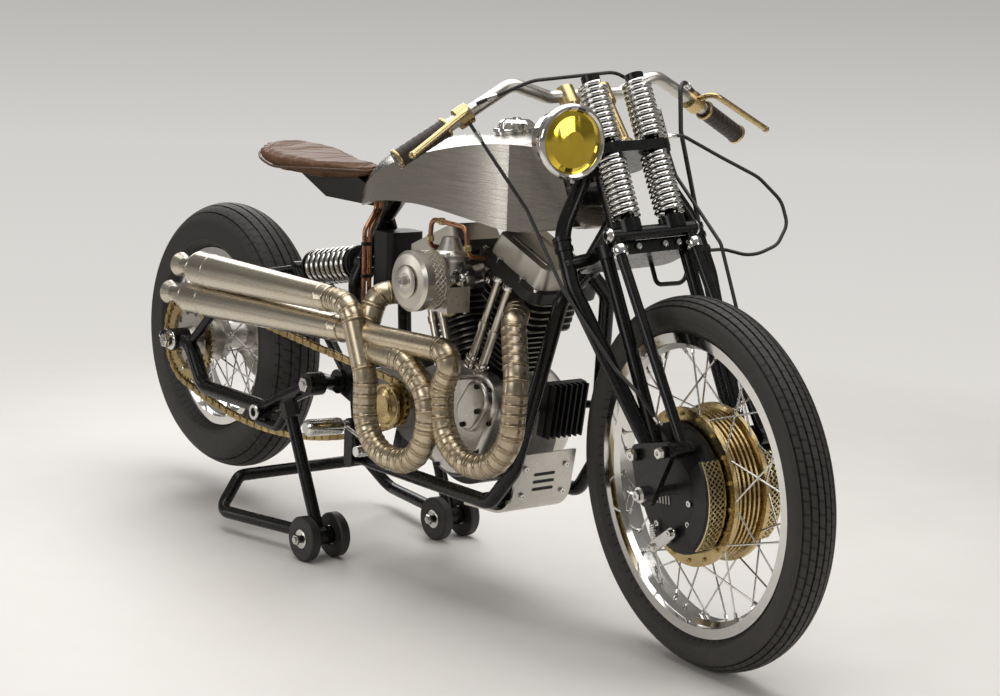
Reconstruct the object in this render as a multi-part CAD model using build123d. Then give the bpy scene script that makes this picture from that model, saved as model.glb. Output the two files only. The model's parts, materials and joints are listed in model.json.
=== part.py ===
"""Custom V-twin motorcycle standing on a paddock stand, one STEP file per piece.

Row frame: millimetres, +X forward, +Y to the left of the machine, +Z up, floor at zero.
Stations are distances forward of the rear axle. The fork is drawn in its own frame,
with n forward of the steering axis, y to the left and s along the steering axis.
"""
import os
from math import cos, hypot, pi, radians, sin, sqrt

from build123d import *

# Wheels and stance
WHEELBASE = 1682.0
FRONT_TYRE_R = 350.0
FRONT_TYRE_W = 88.0
FRONT_FLANGE_R = 284.0
REAR_TYRE_R = 324.0
REAR_TYRE_W = 142.0
REAR_FLANGE_R = 217.0
REAR_LIFT = 62.0
RAKE = 25.0
TRAIL = 120.0
STEER_REST = -7.4

RIM_LIP = 13.0

# Clearances
FIT = 0.05
SEAM = 0.3
RUNNING = 5.0

# Frame tubes
DOWNTUBE_R = 15.0
BACKBONE_R = 24.0
HEAD_R = 32.0
HEAD_BOTTOM = 864.0
HEAD_TOP = 988.0
NOSE_CLEAR = 92.0
STEM_R = 14.0
RAIL_Y = 115.0
RAIL_Z = 224.0
RAIL_REAR_Y = 102.0
TUNNEL_TOP = 884.0
CAP_Z = 940.0
OIL_REAR = 651.0
PEG_Y = 142.0

# Swing arm
PIVOT_STATION = 590.0
PIVOT_Z = 372.0
ARM_Y = 150.0
ARM_R = 18.0
AXLE_R = 10.0

# Engine
CRANK_STATION = 1038.0
CRANK_Z = 358.0
BANK_ANGLE = 22.5
CASE_HALF_W = 72.0
BASE_OUT = 138.0
HEAD_OUT = 262.0
ROCKER_OUT = 338.0
ROCKER_TOP = 402.0
FIN_COUNT = 9
HEAD_FIN_COUNT = 5

# Drive
CHAIN_Y = -118.0
REAR_SPROCKET_R = 104.0
FRONT_SPROCKET_R = 40.0
OUTPUT_STATION = 850.0
OUTPUT_Z = 372.0
CHAIN_SAG_X = 420.0
CHAIN_SAG_Z = -158.0

# Fork
LEG_R = 15.0
LEG_Y = 90.0
SPRING_N = 81.0
SPRING_Y = 50.0
SPRING_R = 29.0
SPRING_WIRE = 4.5
ROD_R = 9.0
PIVOT_N = 48.0
PIVOT_S = 440.0
LINK_N = 134.0
LINK_S = 424.0
YOKE_TOP = 1018.0
YOKE_THICK = 20.0
LOWER_YOKE_TOP = 836.0
BAR_R = 12.7
BAR_END_R = 8.5
BAR_END_DEPTH = 60.0
DRUM_R = 148.0
DRUM_HALF_W = 40.0
PLATE_R = 123.0
SCOOP_DEPTH = 38.0

# Paddock stand
STAND_Y = 178.0
STAND_WHEEL_R = 49.0

# Exhaust
PIPE_R = 25.0
MUFFLER_R = 39.0

REAR_AXLE_X = -(WHEELBASE + FRONT_TYRE_R - REAR_TYRE_R) / 2
REAR_AXLE_Z = REAR_TYRE_R + REAR_LIFT
AXLE_N = FRONT_TYRE_R * sin(radians(RAKE)) - TRAIL * cos(radians(RAKE))
AXLE_S = TRAIL * sin(radians(RAKE)) + FRONT_TYRE_R * cos(radians(RAKE))

FORK_PLANE = Plane(
    origin=(REAR_AXLE_X + WHEELBASE + TRAIL, 0, 0),
    x_dir=(cos(radians(RAKE)), 0, sin(radians(RAKE))),
    z_dir=(-sin(radians(RAKE)), 0, cos(radians(RAKE))),
)
STRAIGHT = FORK_PLANE.location
STEERED = STRAIGHT * Rot(0, 0, STEER_REST)
BOTTOM = (Align.CENTER, Align.CENTER, Align.MIN)

NODES = {}


def at(station, y, z):
    """Point at a station forward of the rear axle."""
    return Vector(REAR_AXLE_X + station, y, z)


def tube(points, radius, bend):
    """Round bar along straight runs joined by tangent arcs."""
    points = [Vector(*p) if isinstance(p, tuple) else p for p in points]
    if len(points) == 2:
        path = Line(*points)
    else:
        path = FilletPolyline(*points, radius=bend)
    return sweep(Plane(path @ 0, z_dir=path % 0) * Circle(radius), path=path)


def rod(start, end, radius):
    """Plain cylinder between two points."""
    start = Vector(*start) if isinstance(start, tuple) else start
    end = Vector(*end) if isinstance(end, tuple) else end
    run = end - start
    return Plane(start, z_dir=run) * Cylinder(radius, run.length, align=BOTTOM)


def turned(start, end, profile):
    """Solid of revolution from (distance along, radius) pairs between two points."""
    start = Vector(*start) if isinstance(start, tuple) else start
    end = Vector(*end) if isinstance(end, tuple) else end
    points = [(0, profile[0][0])] + [(r, h) for h, r in profile] + [(0, profile[-1][0])]
    face = make_face(Plane.XZ * Polyline(*points, close=True))
    return Plane(start, z_dir=end - start) * revolve(face, axis=Axis.Z)


def ring(profile):
    """Solid of revolution about Y from closed (radius, y) points."""
    return revolve(make_face(Polyline(*profile, close=True)), axis=Axis.Y)


def hull_plate(circles, low, high):
    """Plate in the XZ plane around circles (x, z, r), between two y values."""
    outline = [edge for x, z, r in circles for edge in (Pos(x, z) * Circle(r)).edges()]
    plate = extrude(make_hull(outline), amount=high - low)
    return Pos(0, high, 0) * (Rot(90, 0, 0) * plate)


def station_plate(circles, low, high):
    """Plate around circles given by station, height and radius."""
    return hull_plate([(REAR_AXLE_X + x, z, r) for x, z, r in circles], low, high)


def both(shape):
    """The shape and its mirror image across the middle plane."""
    return [shape, mirror(shape, about=Plane.XZ)]


def keep(name, *shapes, place=None):
    """File solids under a node name, moved to their place."""
    flat = []
    for shape in shapes:
        flat.extend(shape if isinstance(shape, (list, tuple)) else [shape])
    if place is not None:
        flat = [place * shape for shape in flat]
    solids = [solid for shape in flat for solid in shape.solids()]
    NODES[name] = solids


def tyre(radius, width, seat_r, seat_half):
    """Tyre ring with a round tread and flat beads."""
    half = width / 2
    crown = 0.62 * half
    lip_r = seat_r + RIM_LIP + 1.5
    with BuildSketch() as section:
        with BuildLine():
            ThreePointArc((radius - crown, half), (radius, 0), (radius - crown, -half))
            Polyline(
                (radius - crown, -half), (lip_r + 12, -half * 0.97), (lip_r, -seat_half), (seat_r, -seat_half),
                (seat_r, seat_half), (lip_r, seat_half), (lip_r + 12, half * 0.97), (radius - crown, half),
            )
        make_face()
    return revolve(section.sketch, axis=Axis.Y)


def rim(flange_r, seat_half, well):
    """Drop-centre rim with rolled flanges."""
    seat_r = flange_r - RIM_LIP
    lip = seat_half + 4
    return ring([
        (flange_r, -lip), (flange_r, -seat_half - SEAM), (seat_r - SEAM, -seat_half - SEAM),
        (seat_r - SEAM, -seat_half * 0.6), (seat_r - well, -seat_half * 0.35),
        (seat_r - well, seat_half * 0.35), (seat_r - SEAM, seat_half * 0.6),
        (seat_r - SEAM, seat_half + SEAM), (flange_r, seat_half + SEAM), (flange_r, lip),
        (seat_r - 6, lip), (seat_r - 7, seat_half * 0.7), (seat_r - well - 5, seat_half * 0.42),
        (seat_r - well - 5, -seat_half * 0.42), (seat_r - 7, -seat_half * 0.7), (seat_r - 6, -lip),
    ])


def spokes(count, hub_r, hub_y, rim_r, rim_y, radius, cross):
    """Crossed wire spokes, half of them on each flange."""
    wires = []
    for index in range(count):
        side = 1 if index % 2 else -1
        pair = index // 2
        lean = cross if pair % 2 else -cross
        offset = radius * 1.5 if pair % 2 else -radius * 1.5
        turn = 2 * pi * index / count
        start = turn + radians(lean)
        inner = (hub_r * cos(start), side * hub_y + offset, hub_r * sin(start))
        outer = (rim_r * cos(turn), side * rim_y, rim_r * sin(turn))
        wires.append(rod(inner, outer, radius))
    return wires


def spring(low, high, n, y):
    """Coil shown as stacked rings on a core, along the steering axis."""
    wire = SPRING_WIRE
    core = SPRING_R - wire
    count = int((high - low) // (2.55 * wire))
    pitch = (high - low) / count
    with BuildSketch(Plane.XZ) as section:
        with BuildLine():
            Line((0, 0), (core, 0))
            for index in range(count):
                foot = index * pitch
                mid = foot + pitch / 2
                Line((core, foot), (core, mid - wire))
                ThreePointArc((core, mid - wire), (core + wire, mid), (core, mid + wire))
                Line((core, mid + wire), (core, foot + pitch))
            Line((core, high - low), (0, high - low))
            Line((0, high - low), (0, 0))
        make_face()
    return Pos(n, y, low) * revolve(section.sketch, axis=Axis.Z)


def front_wheel():
    """Front tyre, rim, spokes and brake drum."""
    hub = Pos(AXLE_N, 0, AXLE_S)
    place = STEERED * hub
    seat_half = 27.0
    well = 12.0
    keep("front_tyre", tyre(FRONT_TYRE_R, FRONT_TYRE_W, FRONT_FLANGE_R - RIM_LIP, seat_half), place=place)
    keep("front_rim", rim(FRONT_FLANGE_R, seat_half, well), place=place)
    rim_r = FRONT_FLANGE_R - RIM_LIP - well - 3
    keep("front_spokes", spokes(40, DRUM_R - 3, DRUM_HALF_W - 5, rim_r, 4, 1.8, 24), place=place)
    w = DRUM_HALF_W
    r = DRUM_R
    profile = [(AXLE_R + FIT, -w), (r, -w), (r, -w + 9)]
    fins = 5
    pitch = (2 * w - 18) / (fins + 1)
    for index in range(fins):
        mid = -w + 9 + (index + 1) * pitch
        profile += [(r - 22, mid - 5), (r - 8, mid - 2), (r - 8, mid + 2), (r - 22, mid + 5)]
    profile += [(r, w - 9), (r, w), (AXLE_R + FIT, w)]
    keep("brake_drum", ring(profile), place=place)


def rear_wheel():
    """Rear tyre, rim, spokes, hub and sprocket."""
    place = Location(at(0, 0, REAR_AXLE_Z))
    seat_half = 44.0
    well = 14.0
    keep("rear_tyre", tyre(REAR_TYRE_R, REAR_TYRE_W, REAR_FLANGE_R - RIM_LIP, seat_half), place=place)
    keep("rear_rim", rim(REAR_FLANGE_R, seat_half, well), place=place)
    rim_r = REAR_FLANGE_R - RIM_LIP - well - 3
    keep("rear_spokes", spokes(40, 50, 42, rim_r, 6, 2.0, 40), place=place)
    face = CHAIN_Y + 3
    hub = ring([
        (AXLE_R + FIT, face - 14), (26, face - 14), (30, face), (88, face), (88, face + 6),
            (70, face + 14), (44, -62),
        (56, -54), (56, -34), (34, -24), (34, 24), (56, 34), (56, 54), (44, 62), (44, 84), (118, 84), (118, 89),
        (AXLE_R + FIT, 89),
    ])
    for index in range(10):
        turn = 2 * pi * index / 10
        hub -= Pos(66 * cos(turn), face, 66 * sin(turn)) * (Rot(90, 0, 0) * Cylinder(8, 60))
    keep("rear_hub", hub, place=place)
    teeth = 46
    tip = REAR_SPROCKET_R
    points = []
    for index in range(teeth):
        for step, radius in ((0.0, tip - 7), (0.3, tip - 7), (0.5, tip), (0.8, tip)):
            turn = 2 * pi * (index + step) / teeth
            points.append((radius * cos(turn), radius * sin(turn)))
    plate = extrude(make_face(Polyline(*points, close=True)), amount=6)
    plate -= Cylinder(76, 40)
    sprocket = Pos(0, CHAIN_Y + 3, 0) * (Rot(90, 0, 0) * plate)
    keep("rear_sprocket", sprocket, place=place)


def chain():
    """Drive chain as two link-plate bands joined by rollers."""
    half = 7.0
    r1 = REAR_SPROCKET_R + half + SEAM
    r2 = FRONT_SPROCKET_R + half + SEAM
    dx = OUTPUT_STATION
    dz = OUTPUT_Z - REAR_AXLE_Z
    reach = hypot(dx, dz)
    lean = (r1 - r2) / reach
    base = Vector(dx / reach, dz / reach)
    normal_up = Vector(base.X * lean - base.Y * sqrt(1 - lean ** 2),
        base.Y * lean + base.X * sqrt(1 - lean ** 2))
    normal_dn = Vector(base.X * lean + base.Y * sqrt(1 - lean ** 2),
        base.Y * lean - base.X * sqrt(1 - lean ** 2))
    far = Vector(dx, dz)
    low_turn = radians(-104)
    leave = Vector(r1 * cos(low_turn), r1 * sin(low_turn))
    join = far + normal_dn * r2
    sag = Vector(CHAIN_SAG_X, CHAIN_SAG_Z)
    with BuildSketch() as loop:
        with BuildLine():
            Line(normal_up * r1, far + normal_up * r2)
            ThreePointArc(far + normal_up * r2, far + base * r2, join)
            ThreePointArc(join, sag, leave)
            ThreePointArc(leave, base * -r1, normal_up * r1)
        make_face()
    path = loop.sketch.face()
    outer = offset(path, amount=half)
    inner = offset(path, amount=-half)
    band = extrude(outer - inner, amount=2.4)
    rollers = extrude(offset(path, amount=4.0) - offset(path, amount=-4.0), amount=16)
    stack = band + Pos(0, 0, 13.6) * band + rollers
    place = Location(at(0, CHAIN_Y + 8, REAR_AXLE_Z))
    keep("drive_chain", Rot(90, 0, 0) * stack, place=place)


def main_frame():
    """Welded tube frame with its head tube."""
    head = STRAIGHT * (Pos(0, 0, HEAD_BOTTOM) * Cylinder(HEAD_R, HEAD_TOP - HEAD_BOTTOM, align=BOTTOM))
    neck_low = STRAIGHT.position + FORK_PLANE.x_dir * -14 + FORK_PLANE.z_dir * 902
    neck_high = STRAIGHT.position + FORK_PLANE.x_dir * -14 + FORK_PLANE.z_dir * 952
    fork_point = at(1328, 0, 704)
    trunk = rod(neck_low, fork_point, 21)
    spine = tube([neck_high, at(690, 0, 800), at(628, 0, 740)], BACKBONE_R, 60)
    loop = tube(
        [fork_point, at(1320, -58, 650), at(1250, -106, 300), at(1188, -RAIL_Y, RAIL_Z),
         at(712, -RAIL_REAR_Y, RAIL_Z), at(640, -66, 330), at(622, -66, 600), at(640, 0, 752)],
        DOWNTUBE_R, 44,
    )
    cross_front = rod(at(1150, -RAIL_Y, RAIL_Z), at(1150, RAIL_Y, RAIL_Z), 12)
    cross_rear = rod(at(740, -RAIL_REAR_Y, RAIL_Z), at(740, RAIL_REAR_Y, RAIL_Z), 12)
    cross_shock = rod(at(628, -66, 640), at(628, 66, 640), 13)
    boss = rod(at(PIVOT_STATION, -87, PIVOT_Z), at(PIVOT_STATION, -61, PIVOT_Z), 27)
    web = station_plate([(PIVOT_STATION, PIVOT_Z, 24), (636, PIVOT_Z + 40, 10), (638, PIVOT_Z - 30, 10)],
        -80, -66)
    frame = head + [trunk, spine] + both(loop) + [cross_front, cross_rear, cross_shock] + both(boss) + both(web)
    for station, z in ((800, 809), (1190, 841)):
        frame += Pos(at(station, 0, z)) * Box(46, 40, TUNNEL_TOP - SEAM - z, align=BOTTOM)
    frame += tube([at(1274, -89, 420), at(1244, -62, 420), at(1244, 62, 420), at(1274, 89, 420)], 8, 14)
    for y in (-46, 46):
        frame += rod(at(1138, y, RAIL_Z), at(1138, y, 196.8 + SEAM), 9)
        frame += rod(at(628, y / 2, 640), at(OIL_REAR - SEAM, y / 2, 640), 8)
    step = rod(at(719, -RAIL_REAR_Y, RAIL_Z), at(719, -PEG_Y, RAIL_Z), 10)
    hanger = station_plate([(719, RAIL_Z, 15), (719, 302, 15)], -PEG_Y, -PEG_Y + 9)
    frame += both(step) + both(hanger)
    frame += station_plate([(1150, RAIL_Z, 12), (1120, 300, 14)], -34, 34)
    frame += station_plate([(740, RAIL_Z, 12), (776, 340, 14)], -34, 34)
    for solid in NODES["crankcase"]:
        frame -= solid
    frame -= STRAIGHT * (Pos(0, 0, HEAD_BOTTOM - 10) * Cylinder(STEM_R + FIT, 300, align=BOTTOM))
    frame -= rod(at(PIVOT_STATION, -200, PIVOT_Z), at(PIVOT_STATION, 200, PIVOT_Z), 12 + SEAM)
    keep("main_frame", frame)


def swing_arm():
    """Swing arm with cantilever braces, pivot shaft and stand bobbins, and the rear axle."""
    arm = tube(
        [at(-58, -ARM_Y, REAR_AXLE_Z), at(56, -ARM_Y, REAR_AXLE_Z - 4), at(120, -ARM_Y, 288),
         at(400, -ARM_Y, 286), at(PIVOT_STATION + 6, -ARM_Y, PIVOT_Z)],
        ARM_R, 48,
    )
    eye = rod(at(0, -ARM_Y - 22, REAR_AXLE_Z), at(0, -ARM_Y + 20, REAR_AXLE_Z), 27)
    pivot_eye = rod(at(PIVOT_STATION, -ARM_Y - 20, PIVOT_Z), at(PIVOT_STATION, -ARM_Y + 20, PIVOT_Z), 26)
    bobbin = rod(at(430, -ARM_Y, 286), at(430, -196, 286), 10)
    flange = rod(at(430, -192, 286), at(430, -198, 286), 17)
    brace = tube([at(56, -ARM_Y + 4, 388), at(158, -141.5, 480), at(200, -126, 519), at(300, -88, 580),
        at(326, -20, 588)], 11, 26)
    strut = rod(at(PIVOT_STATION - 8, -48, PIVOT_Z), at(330, -30, 586), 12)
    shaft = rod(at(PIVOT_STATION, -160, PIVOT_Z), at(PIVOT_STATION, 160, PIVOT_Z), 12)
    core = rod(at(PIVOT_STATION, -58, PIVOT_Z), at(PIVOT_STATION, 58, PIVOT_Z), 23)
    lug = rod(at(322, -34, 588), at(322, 34, 588), 18)
    body = arm + [eye, pivot_eye, bobbin, flange, brace, strut]
    whole = body + [mirror(body, about=Plane.XZ), shaft, core, lug]
    whole -= rod(at(0, -220, REAR_AXLE_Z), at(0, 220, REAR_AXLE_Z), AXLE_R + SEAM)
    keep("swing_arm", whole)
    y = ARM_Y + 22 + SEAM
    axle = turned(at(0, -y - 14, REAR_AXLE_Z), at(0, y + 14, REAR_AXLE_Z), [
        (0, 17), (14, 17), (14, AXLE_R), (2 * y + 14, AXLE_R), (2 * y + 14, 17), (2 * y + 28, 17),
    ])
    keep("rear_axle", axle)


def shock():
    """Coil-over shock between the cantilever and the frame."""
    rear = at(322, 0, 588)
    front = at(628, 0, 640)
    length = (front - rear).length
    profile = [(0, 14), (42, 14), (42, 40), (52, 40)]
    coils = 7
    end = length - 84
    pitch = (end - 52) / coils
    for index in range(coils):
        foot = 52 + index * pitch
        for step, r in ((0.2, 31), (0.32, 42), (0.68, 42), (0.8, 31)):
            profile.append((foot + step * pitch, r))
    profile += [(end, 40), (end + 12, 40), (end + 12, 27), (end + 50, 27), (end + 50, 14), (length, 14)]
    unit = turned(rear, front, profile)
    for solid in NODES["swing_arm"] + NODES["main_frame"]:
        unit -= solid
    keep("shock", unit)


def engine():
    """Crankcase, covers, cylinders, rocker boxes and pushrod tubes."""
    cx = CRANK_STATION
    cz = CRANK_Z
    w = CASE_HALF_W
    case = station_plate([(cx, cz, 128), (cx - 175, cz + 18, 96), (cx - 240, cz + 36, 70)], -w, w)
    cam = station_plate([(cx, cz - 6, 104), (cx + 84, cz + 58, 60), (cx - 55, cz - 12, 66)], -w - 36, -w)
    cam = fillet(cam.faces().sort_by(Axis.Y)[0].edges(), 14)
    dome = station_plate([(cx + 98, cz + 70, 38), (cx + 72, cz + 36, 38)], -w - 50, -w - 36)
    dome = fillet(dome.faces().sort_by(Axis.Y)[0].edges(), 8)
    keep("cam_cover", cam + dome)
    primary = station_plate([(cx, cz, 112), (cx - 190, cz + 14, 120)], w, w + 66)
    keep("primary_cover", fillet(primary.faces().sort_by(Axis.Y)[-1].edges(), 30))
    disc = turned(at(OUTPUT_STATION + 4, CHAIN_Y - 18, OUTPUT_Z - 4), at(OUTPUT_STATION + 4, CHAIN_Y - 34,
        OUTPUT_Z - 4), [
        (0, 46), (6, 46), (6, 40), (12, 36), (16, 24),
    ])
    output = rod(at(OUTPUT_STATION, -w, OUTPUT_Z), at(OUTPUT_STATION, CHAIN_Y - 18, OUTPUT_Z), 18)
    front_sprocket = rod(at(OUTPUT_STATION, CHAIN_Y - 3, OUTPUT_Z), at(OUTPUT_STATION, CHAIN_Y + 3,
        OUTPUT_Z), FRONT_SPROCKET_R)
    keep("sprocket_cover", disc + output + front_sprocket)
    banks = []
    boxes = []
    tubes = []
    for lean in (BANK_ANGLE, -BANK_ANGLE):
        up = Vector(sin(radians(lean)), 0, cos(radians(lean)))
        along = Vector(cos(radians(lean)), 0, -sin(radians(lean)))
        bank = Plane(at(cx, 0, cz), x_dir=along, z_dir=up)
        barrel = Pos(0, 0, BASE_OUT) * Cylinder(50, ROCKER_OUT - BASE_OUT - SEAM, align=BOTTOM)
        step = (HEAD_OUT - BASE_OUT - 8) / FIN_COUNT
        for index in range(FIN_COUNT):
            size = 112 + 3.2 * index
            fin = extrude(RectangleRounded(size, size, 36), amount=3.4)
            barrel += Pos(0, 0, BASE_OUT + 8 + index * step) * fin
        step = (ROCKER_OUT - HEAD_OUT) / HEAD_FIN_COUNT
        for index in range(HEAD_FIN_COUNT):
            fin = extrude(RectangleRounded(176, 134, 34), amount=4.0)
            barrel += Pos(0, 0, HEAD_OUT + index * step) * fin
        head = extrude(RectangleRounded(140, 116, 30), amount=ROCKER_OUT - HEAD_OUT - SEAM)
        barrel += Pos(0, 0, HEAD_OUT) * head
        banks.append(bank.location * barrel)
        low = extrude(RectangleRounded(204, 176, 26), amount=22)
        high = Pos(0, 0, 22) * extrude(RectangleRounded(180, 136, 24), amount=ROCKER_TOP - ROCKER_OUT - 22,
            taper=12)
        boxes.append(bank.location * (Pos(0, 0, ROCKER_OUT) * (low + high)))
        for side in (-18, 18):
            foot = bank.from_local_coords(Vector(side, -w - 14, BASE_OUT - 10))
            top = bank.from_local_coords(Vector(side, -w - 6, ROCKER_OUT - SEAM))
            tubes.append(turned(foot, top, [
                (0, 13), (22, 13), (22, 9), (90, 9), (90, 11), (104, 11), (104, 8), ((top - foot).length, 8),
            ]))
        case -= bank.location * (Pos(0, 0, BASE_OUT - SEAM) * Box(220, 200, 200, align=BOTTOM))
    keep("crankcase", case)
    keep("cylinders", banks)
    keep("rocker_boxes", boxes)
    keep("pushrod_tubes", [t - NODES["cam_cover"] for t in tubes])


def head_envelopes():
    """Boxes around both cylinder heads, a seam larger than their fins."""
    blocks = []
    for lean in (BANK_ANGLE, -BANK_ANGLE):
        bank = Pos(at(CRANK_STATION, 0, CRANK_Z)) * Rot(0, lean, 0)
        blocks.append(bank * (Pos(0, 0, 200) * Box(176 + 2 * SEAM, 134 + 2 * SEAM, 202, align=BOTTOM)))
    return blocks


def intake():
    """Carburettor with its dome and manifold, and the round air filter."""
    x = CRANK_STATION + 28
    z = 664.0
    body = rod(at(x, -96, z), at(x, -176, z), 27)
    dome = turned(at(x, -140, z), at(x, -140, z + 84), [(0, 30), (40, 30), (40, 36), (52, 36), (58, 27),
        (84, 16)])
    bowl = Pos(at(x, -140, z - 40)) * Box(62, 56, 52)
    stub = rod(at(CRANK_STATION, -34, z + 4), at(x - 6, -100, z), 20)
    runner = rod(at(CRANK_STATION - 62, -34, z + 4), at(CRANK_STATION + 62, -34, z + 4), 19)
    keep("carburettor", (body + dome + bowl + stub + runner) - head_envelopes())
    filt = turned(at(x, -176 - SEAM, z), at(x, -250, z), [
        (0, 40), (8, 40), (8, 60), (14, 60), (14, 57), (44, 57), (44, 61), (62, 61), (68, 54), (72, 20),
    ])
    keep("air_filter", filt)


def exhaust():
    """Two snaking pipes and two stacked mufflers."""
    front = tube(
        [at(1196, -66, 612), at(1262, -130, 600), at(1330, -172, 500), at(1326, -182, 314), at(1112, -186, 314),
         at(1110, -186, 452), at(1150, -186, 527.32), at(762, -186, 520)],
        PIPE_R, [40, 80, 104, 104, 70, 26],
    )
    rear = tube(
        [at(868, -66, 610), at(830, -150, 604), at(822, -186, 490), at(1000, -198, 492), at(1096, -202, 430),
         at(1074, -204, 284), at(872, -206, 284), at(872, -206, 440), at(812, -207.8, 584), at(742, -208, 584)],
        PIPE_R, [36, 60, 80, 78, 94, 94, 80, 54],
    )
    blocks = head_envelopes()
    keep("exhaust_pipes", front - blocks, rear - blocks)
    specs = (
        (at(742, -208, 584), at(112, -210, 584)),
        (at(762, -186, 520), at(20, -186, 506)),
    )
    cans = []
    for start, end in specs:
        length = (end - start).length
        cans.append(turned(start, end, [
            (0, PIPE_R), (0, 27), (30, 29), (length * 0.76, MUFFLER_R),
                (length * 0.86, MUFFLER_R), (length - 34, 20),
            (length - 24, 20), (length, 28), (length, 20),
        ]))
    keep("mufflers", cans)


def tank():
    """Slab-sided fuel tank with a tunnel for the backbone and a nose cut clear of the fork."""
    def section(row):
        station, half, low, shoulder, crown = row
        x = REAR_AXLE_X + station
        edges = [
            Line((x, -half, low), (x, half, low)), Line((x, half, low), (x, half, shoulder)),
            ThreePointArc((x, half, shoulder), (x, 0, crown), (x, -half, shoulder)),
            Line((x, -half, shoulder), (x, -half, low)),
        ]
        return make_face(Wire(edges))
    rear_rows = ((604, 40, 764, 788, 822), (660, 64, 776, 822, 868), (800, 98, 794, 874, 922),
                 (1040, 125, 792, 924, 950), (1228, 128, 776, 944, 960))
    nose_rows = ((1228, 128, 776, 944, 960), (1256, 123, 776, 944, 959), (1276, 110, 778, 942, 957),
                 (1338, 64, 792, 930, 944))
    shell = loft([section(row) for row in rear_rows])
    shell += loft([section(row) for row in nose_rows], ruled=True)
    shell -= Pos(at(960, 0, TUNNEL_TOP)) * Box(900, 2 * BACKBONE_R + 14, 180, align=(Align.CENTER,
        Align.CENTER, Align.MAX))
    shell -= STRAIGHT * (Pos(0, 0, 800) * Cylinder(NOSE_CLEAR, 400, align=BOTTOM))
    keep("fuel_tank", shell)
    cap = turned(at(1088, 0, CAP_Z), at(1088, 0, 1000), [(0, 42), (24, 42), (24, 35), (36, 35), (42, 27),
        (42, 10), (46, 8)])
    keep("filler_cap", cap - shell)


def saddle():
    """Seat pad and the support below it."""
    plan = make_hull([e for x, r in ((322, 112), (588, 28)) for e in (Pos(REAR_AXLE_X + x,
        0) * Circle(r)).edges()])
    rows = ((190, 892, 20), (260, 872, 26), (340, 856, 30), (450, 846, 30), (560, 850, 26), (640, 862, 20))
    top = [(REAR_AXLE_X + x, z) for x, z, thick in rows]
    under = [(REAR_AXLE_X + x, z - thick) for x, z, thick in rows]
    band = make_face(Plane.XZ * Polyline(*top, *reversed(under), close=True))
    keep("seat", extrude(band, amount=200, both=True) & extrude(plan, amount=1200))
    front = at(634, 0, 0).X
    ledge = [(x, z - SEAM) for x, z in under[1:5]]
    wedge = make_face(Plane.XZ * Polyline((front, 764), (front, 796), *reversed(ledge), (at(440, 0, 0).X,
        768), close=True))
    support = extrude(wedge, amount=26, both=True)
    for solid in NODES["main_frame"]:
        support -= solid
    keep("seat_support", support.solids().sort_by(SortBy.VOLUME)[-1])


def fittings():
    """Oil tank, copper lines, regulator, skid plate and foot controls."""
    oil = Pos(at(OIL_REAR + 38, 0, 650)) * Box(76, 92, 130)
    keep("oil_tank", fillet(oil.edges().filter_by(Axis.Z), 18))
    vents = []
    for y, low in ((-50, 520), (-36, 560)):
        vents.append(tube([at(676, y, 800), at(676, y - 2, 760), at(690, y - 40, 720), at(694, y - 42,
            low - 40), at(800, y - 4, 420)], 5, 22))
    bridge = tube([at(988, -70, 712), at(986, -134, 720), at(992, -134, 776), at(1108, -134, 770), at(1112,
        -132, 712), at(1114, -70, 704)], 5, 16)
    solids = NODES["fuel_tank"] + NODES["crankcase"] + NODES["rocker_boxes"]
    keep("copper_lines", [line - solids for line in vents + [bridge]])
    reg = Pos(at(1262, 0, 420)) * Box(18, 96, 110)
    for index in range(7):
        reg += Pos(at(1277, -42 + index * 14, 420)) * Box(16, 4, 110)
    keep("regulator", Location(at(1262, 0, 420)) * Rot(0, 9, 0) * Location(at(1262, 0, 420)).inverse() * reg)
    path = FilletPolyline(at(1222, 0, 322), at(1200, 0, 196), at(1050, 0, 190), radius=60)
    blade = sweep(Plane(path @ 0, x_dir=(0, 1, 0), z_dir=path % 0) * Rectangle(150, 5), path=path)
    keep("skid_plate", blade)
    peg = turned(at(719, -PEG_Y - SEAM, 302), at(719, -252, 306), [
        (0, 12), (14, 12), (14, 9), (22, 9), (22, 17), (106, 17), (110, 12),
    ])
    toe = turned(at(842, -PEG_Y - 6, 273), at(842, -206, 273), [(0, 7), (12, 7), (12, 11), (58, 11)])
    pedal = rod(at(719, -PEG_Y - 8, 302), at(842, -PEG_Y - 10, 273), 5)
    keep("foot_pegs", both(peg + [toe, pedal]))


def paddock_stand():
    """Tube stand under the swing arm bobbins and its twin wheels."""
    base = tube(
        [at(668, -STAND_Y, 50), at(346, -236, 46), at(330, -176, 118), at(330, 176, 118), at(346, 236, 46),
         at(668, STAND_Y, 50)],
        14, 30,
    )
    upright = rod(at(668, -STAND_Y, 50), at(548, -STAND_Y - 6, 318), 14)
    arm = tube([at(548, -STAND_Y - 6, 318), at(500, -STAND_Y - 2, 262), at(418, -STAND_Y, 262)], 11, 24)
    cradle = Pos(at(430, -STAND_Y, 272)) * Box(44, 18, 26)
    axle = rod(at(670, -STAND_Y - 58, STAND_WHEEL_R), at(670, -STAND_Y + 58, STAND_WHEEL_R), 8)
    hub = rod(at(670, -STAND_Y - 24, STAND_WHEEL_R), at(670, -STAND_Y + 24, STAND_WHEEL_R), 20)
    sides = [upright, cradle, axle, hub, arm]
    stand = base + sides + [mirror(s, about=Plane.XZ) for s in sides]
    stand -= rod(at(430, -240, 286), at(430, 240, 286), 10 + SEAM)
    keep("paddock_stand", stand)
    r = STAND_WHEEL_R
    wheel = ring([(8 + FIT, -10), (22, -10), (24, -12), (r - 3, -12), (r, -9), (r, 9), (r - 3, 12),
        (24, 12), (22, 10), (8 + FIT, 10)])
    pair = [Location(at(670, -STAND_Y + y, r)) * wheel for y in (-38, 38)]
    keep("stand_wheels_right", pair)
    keep("stand_wheels_left", [mirror(p, about=Plane.XZ) for p in pair])


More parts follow.
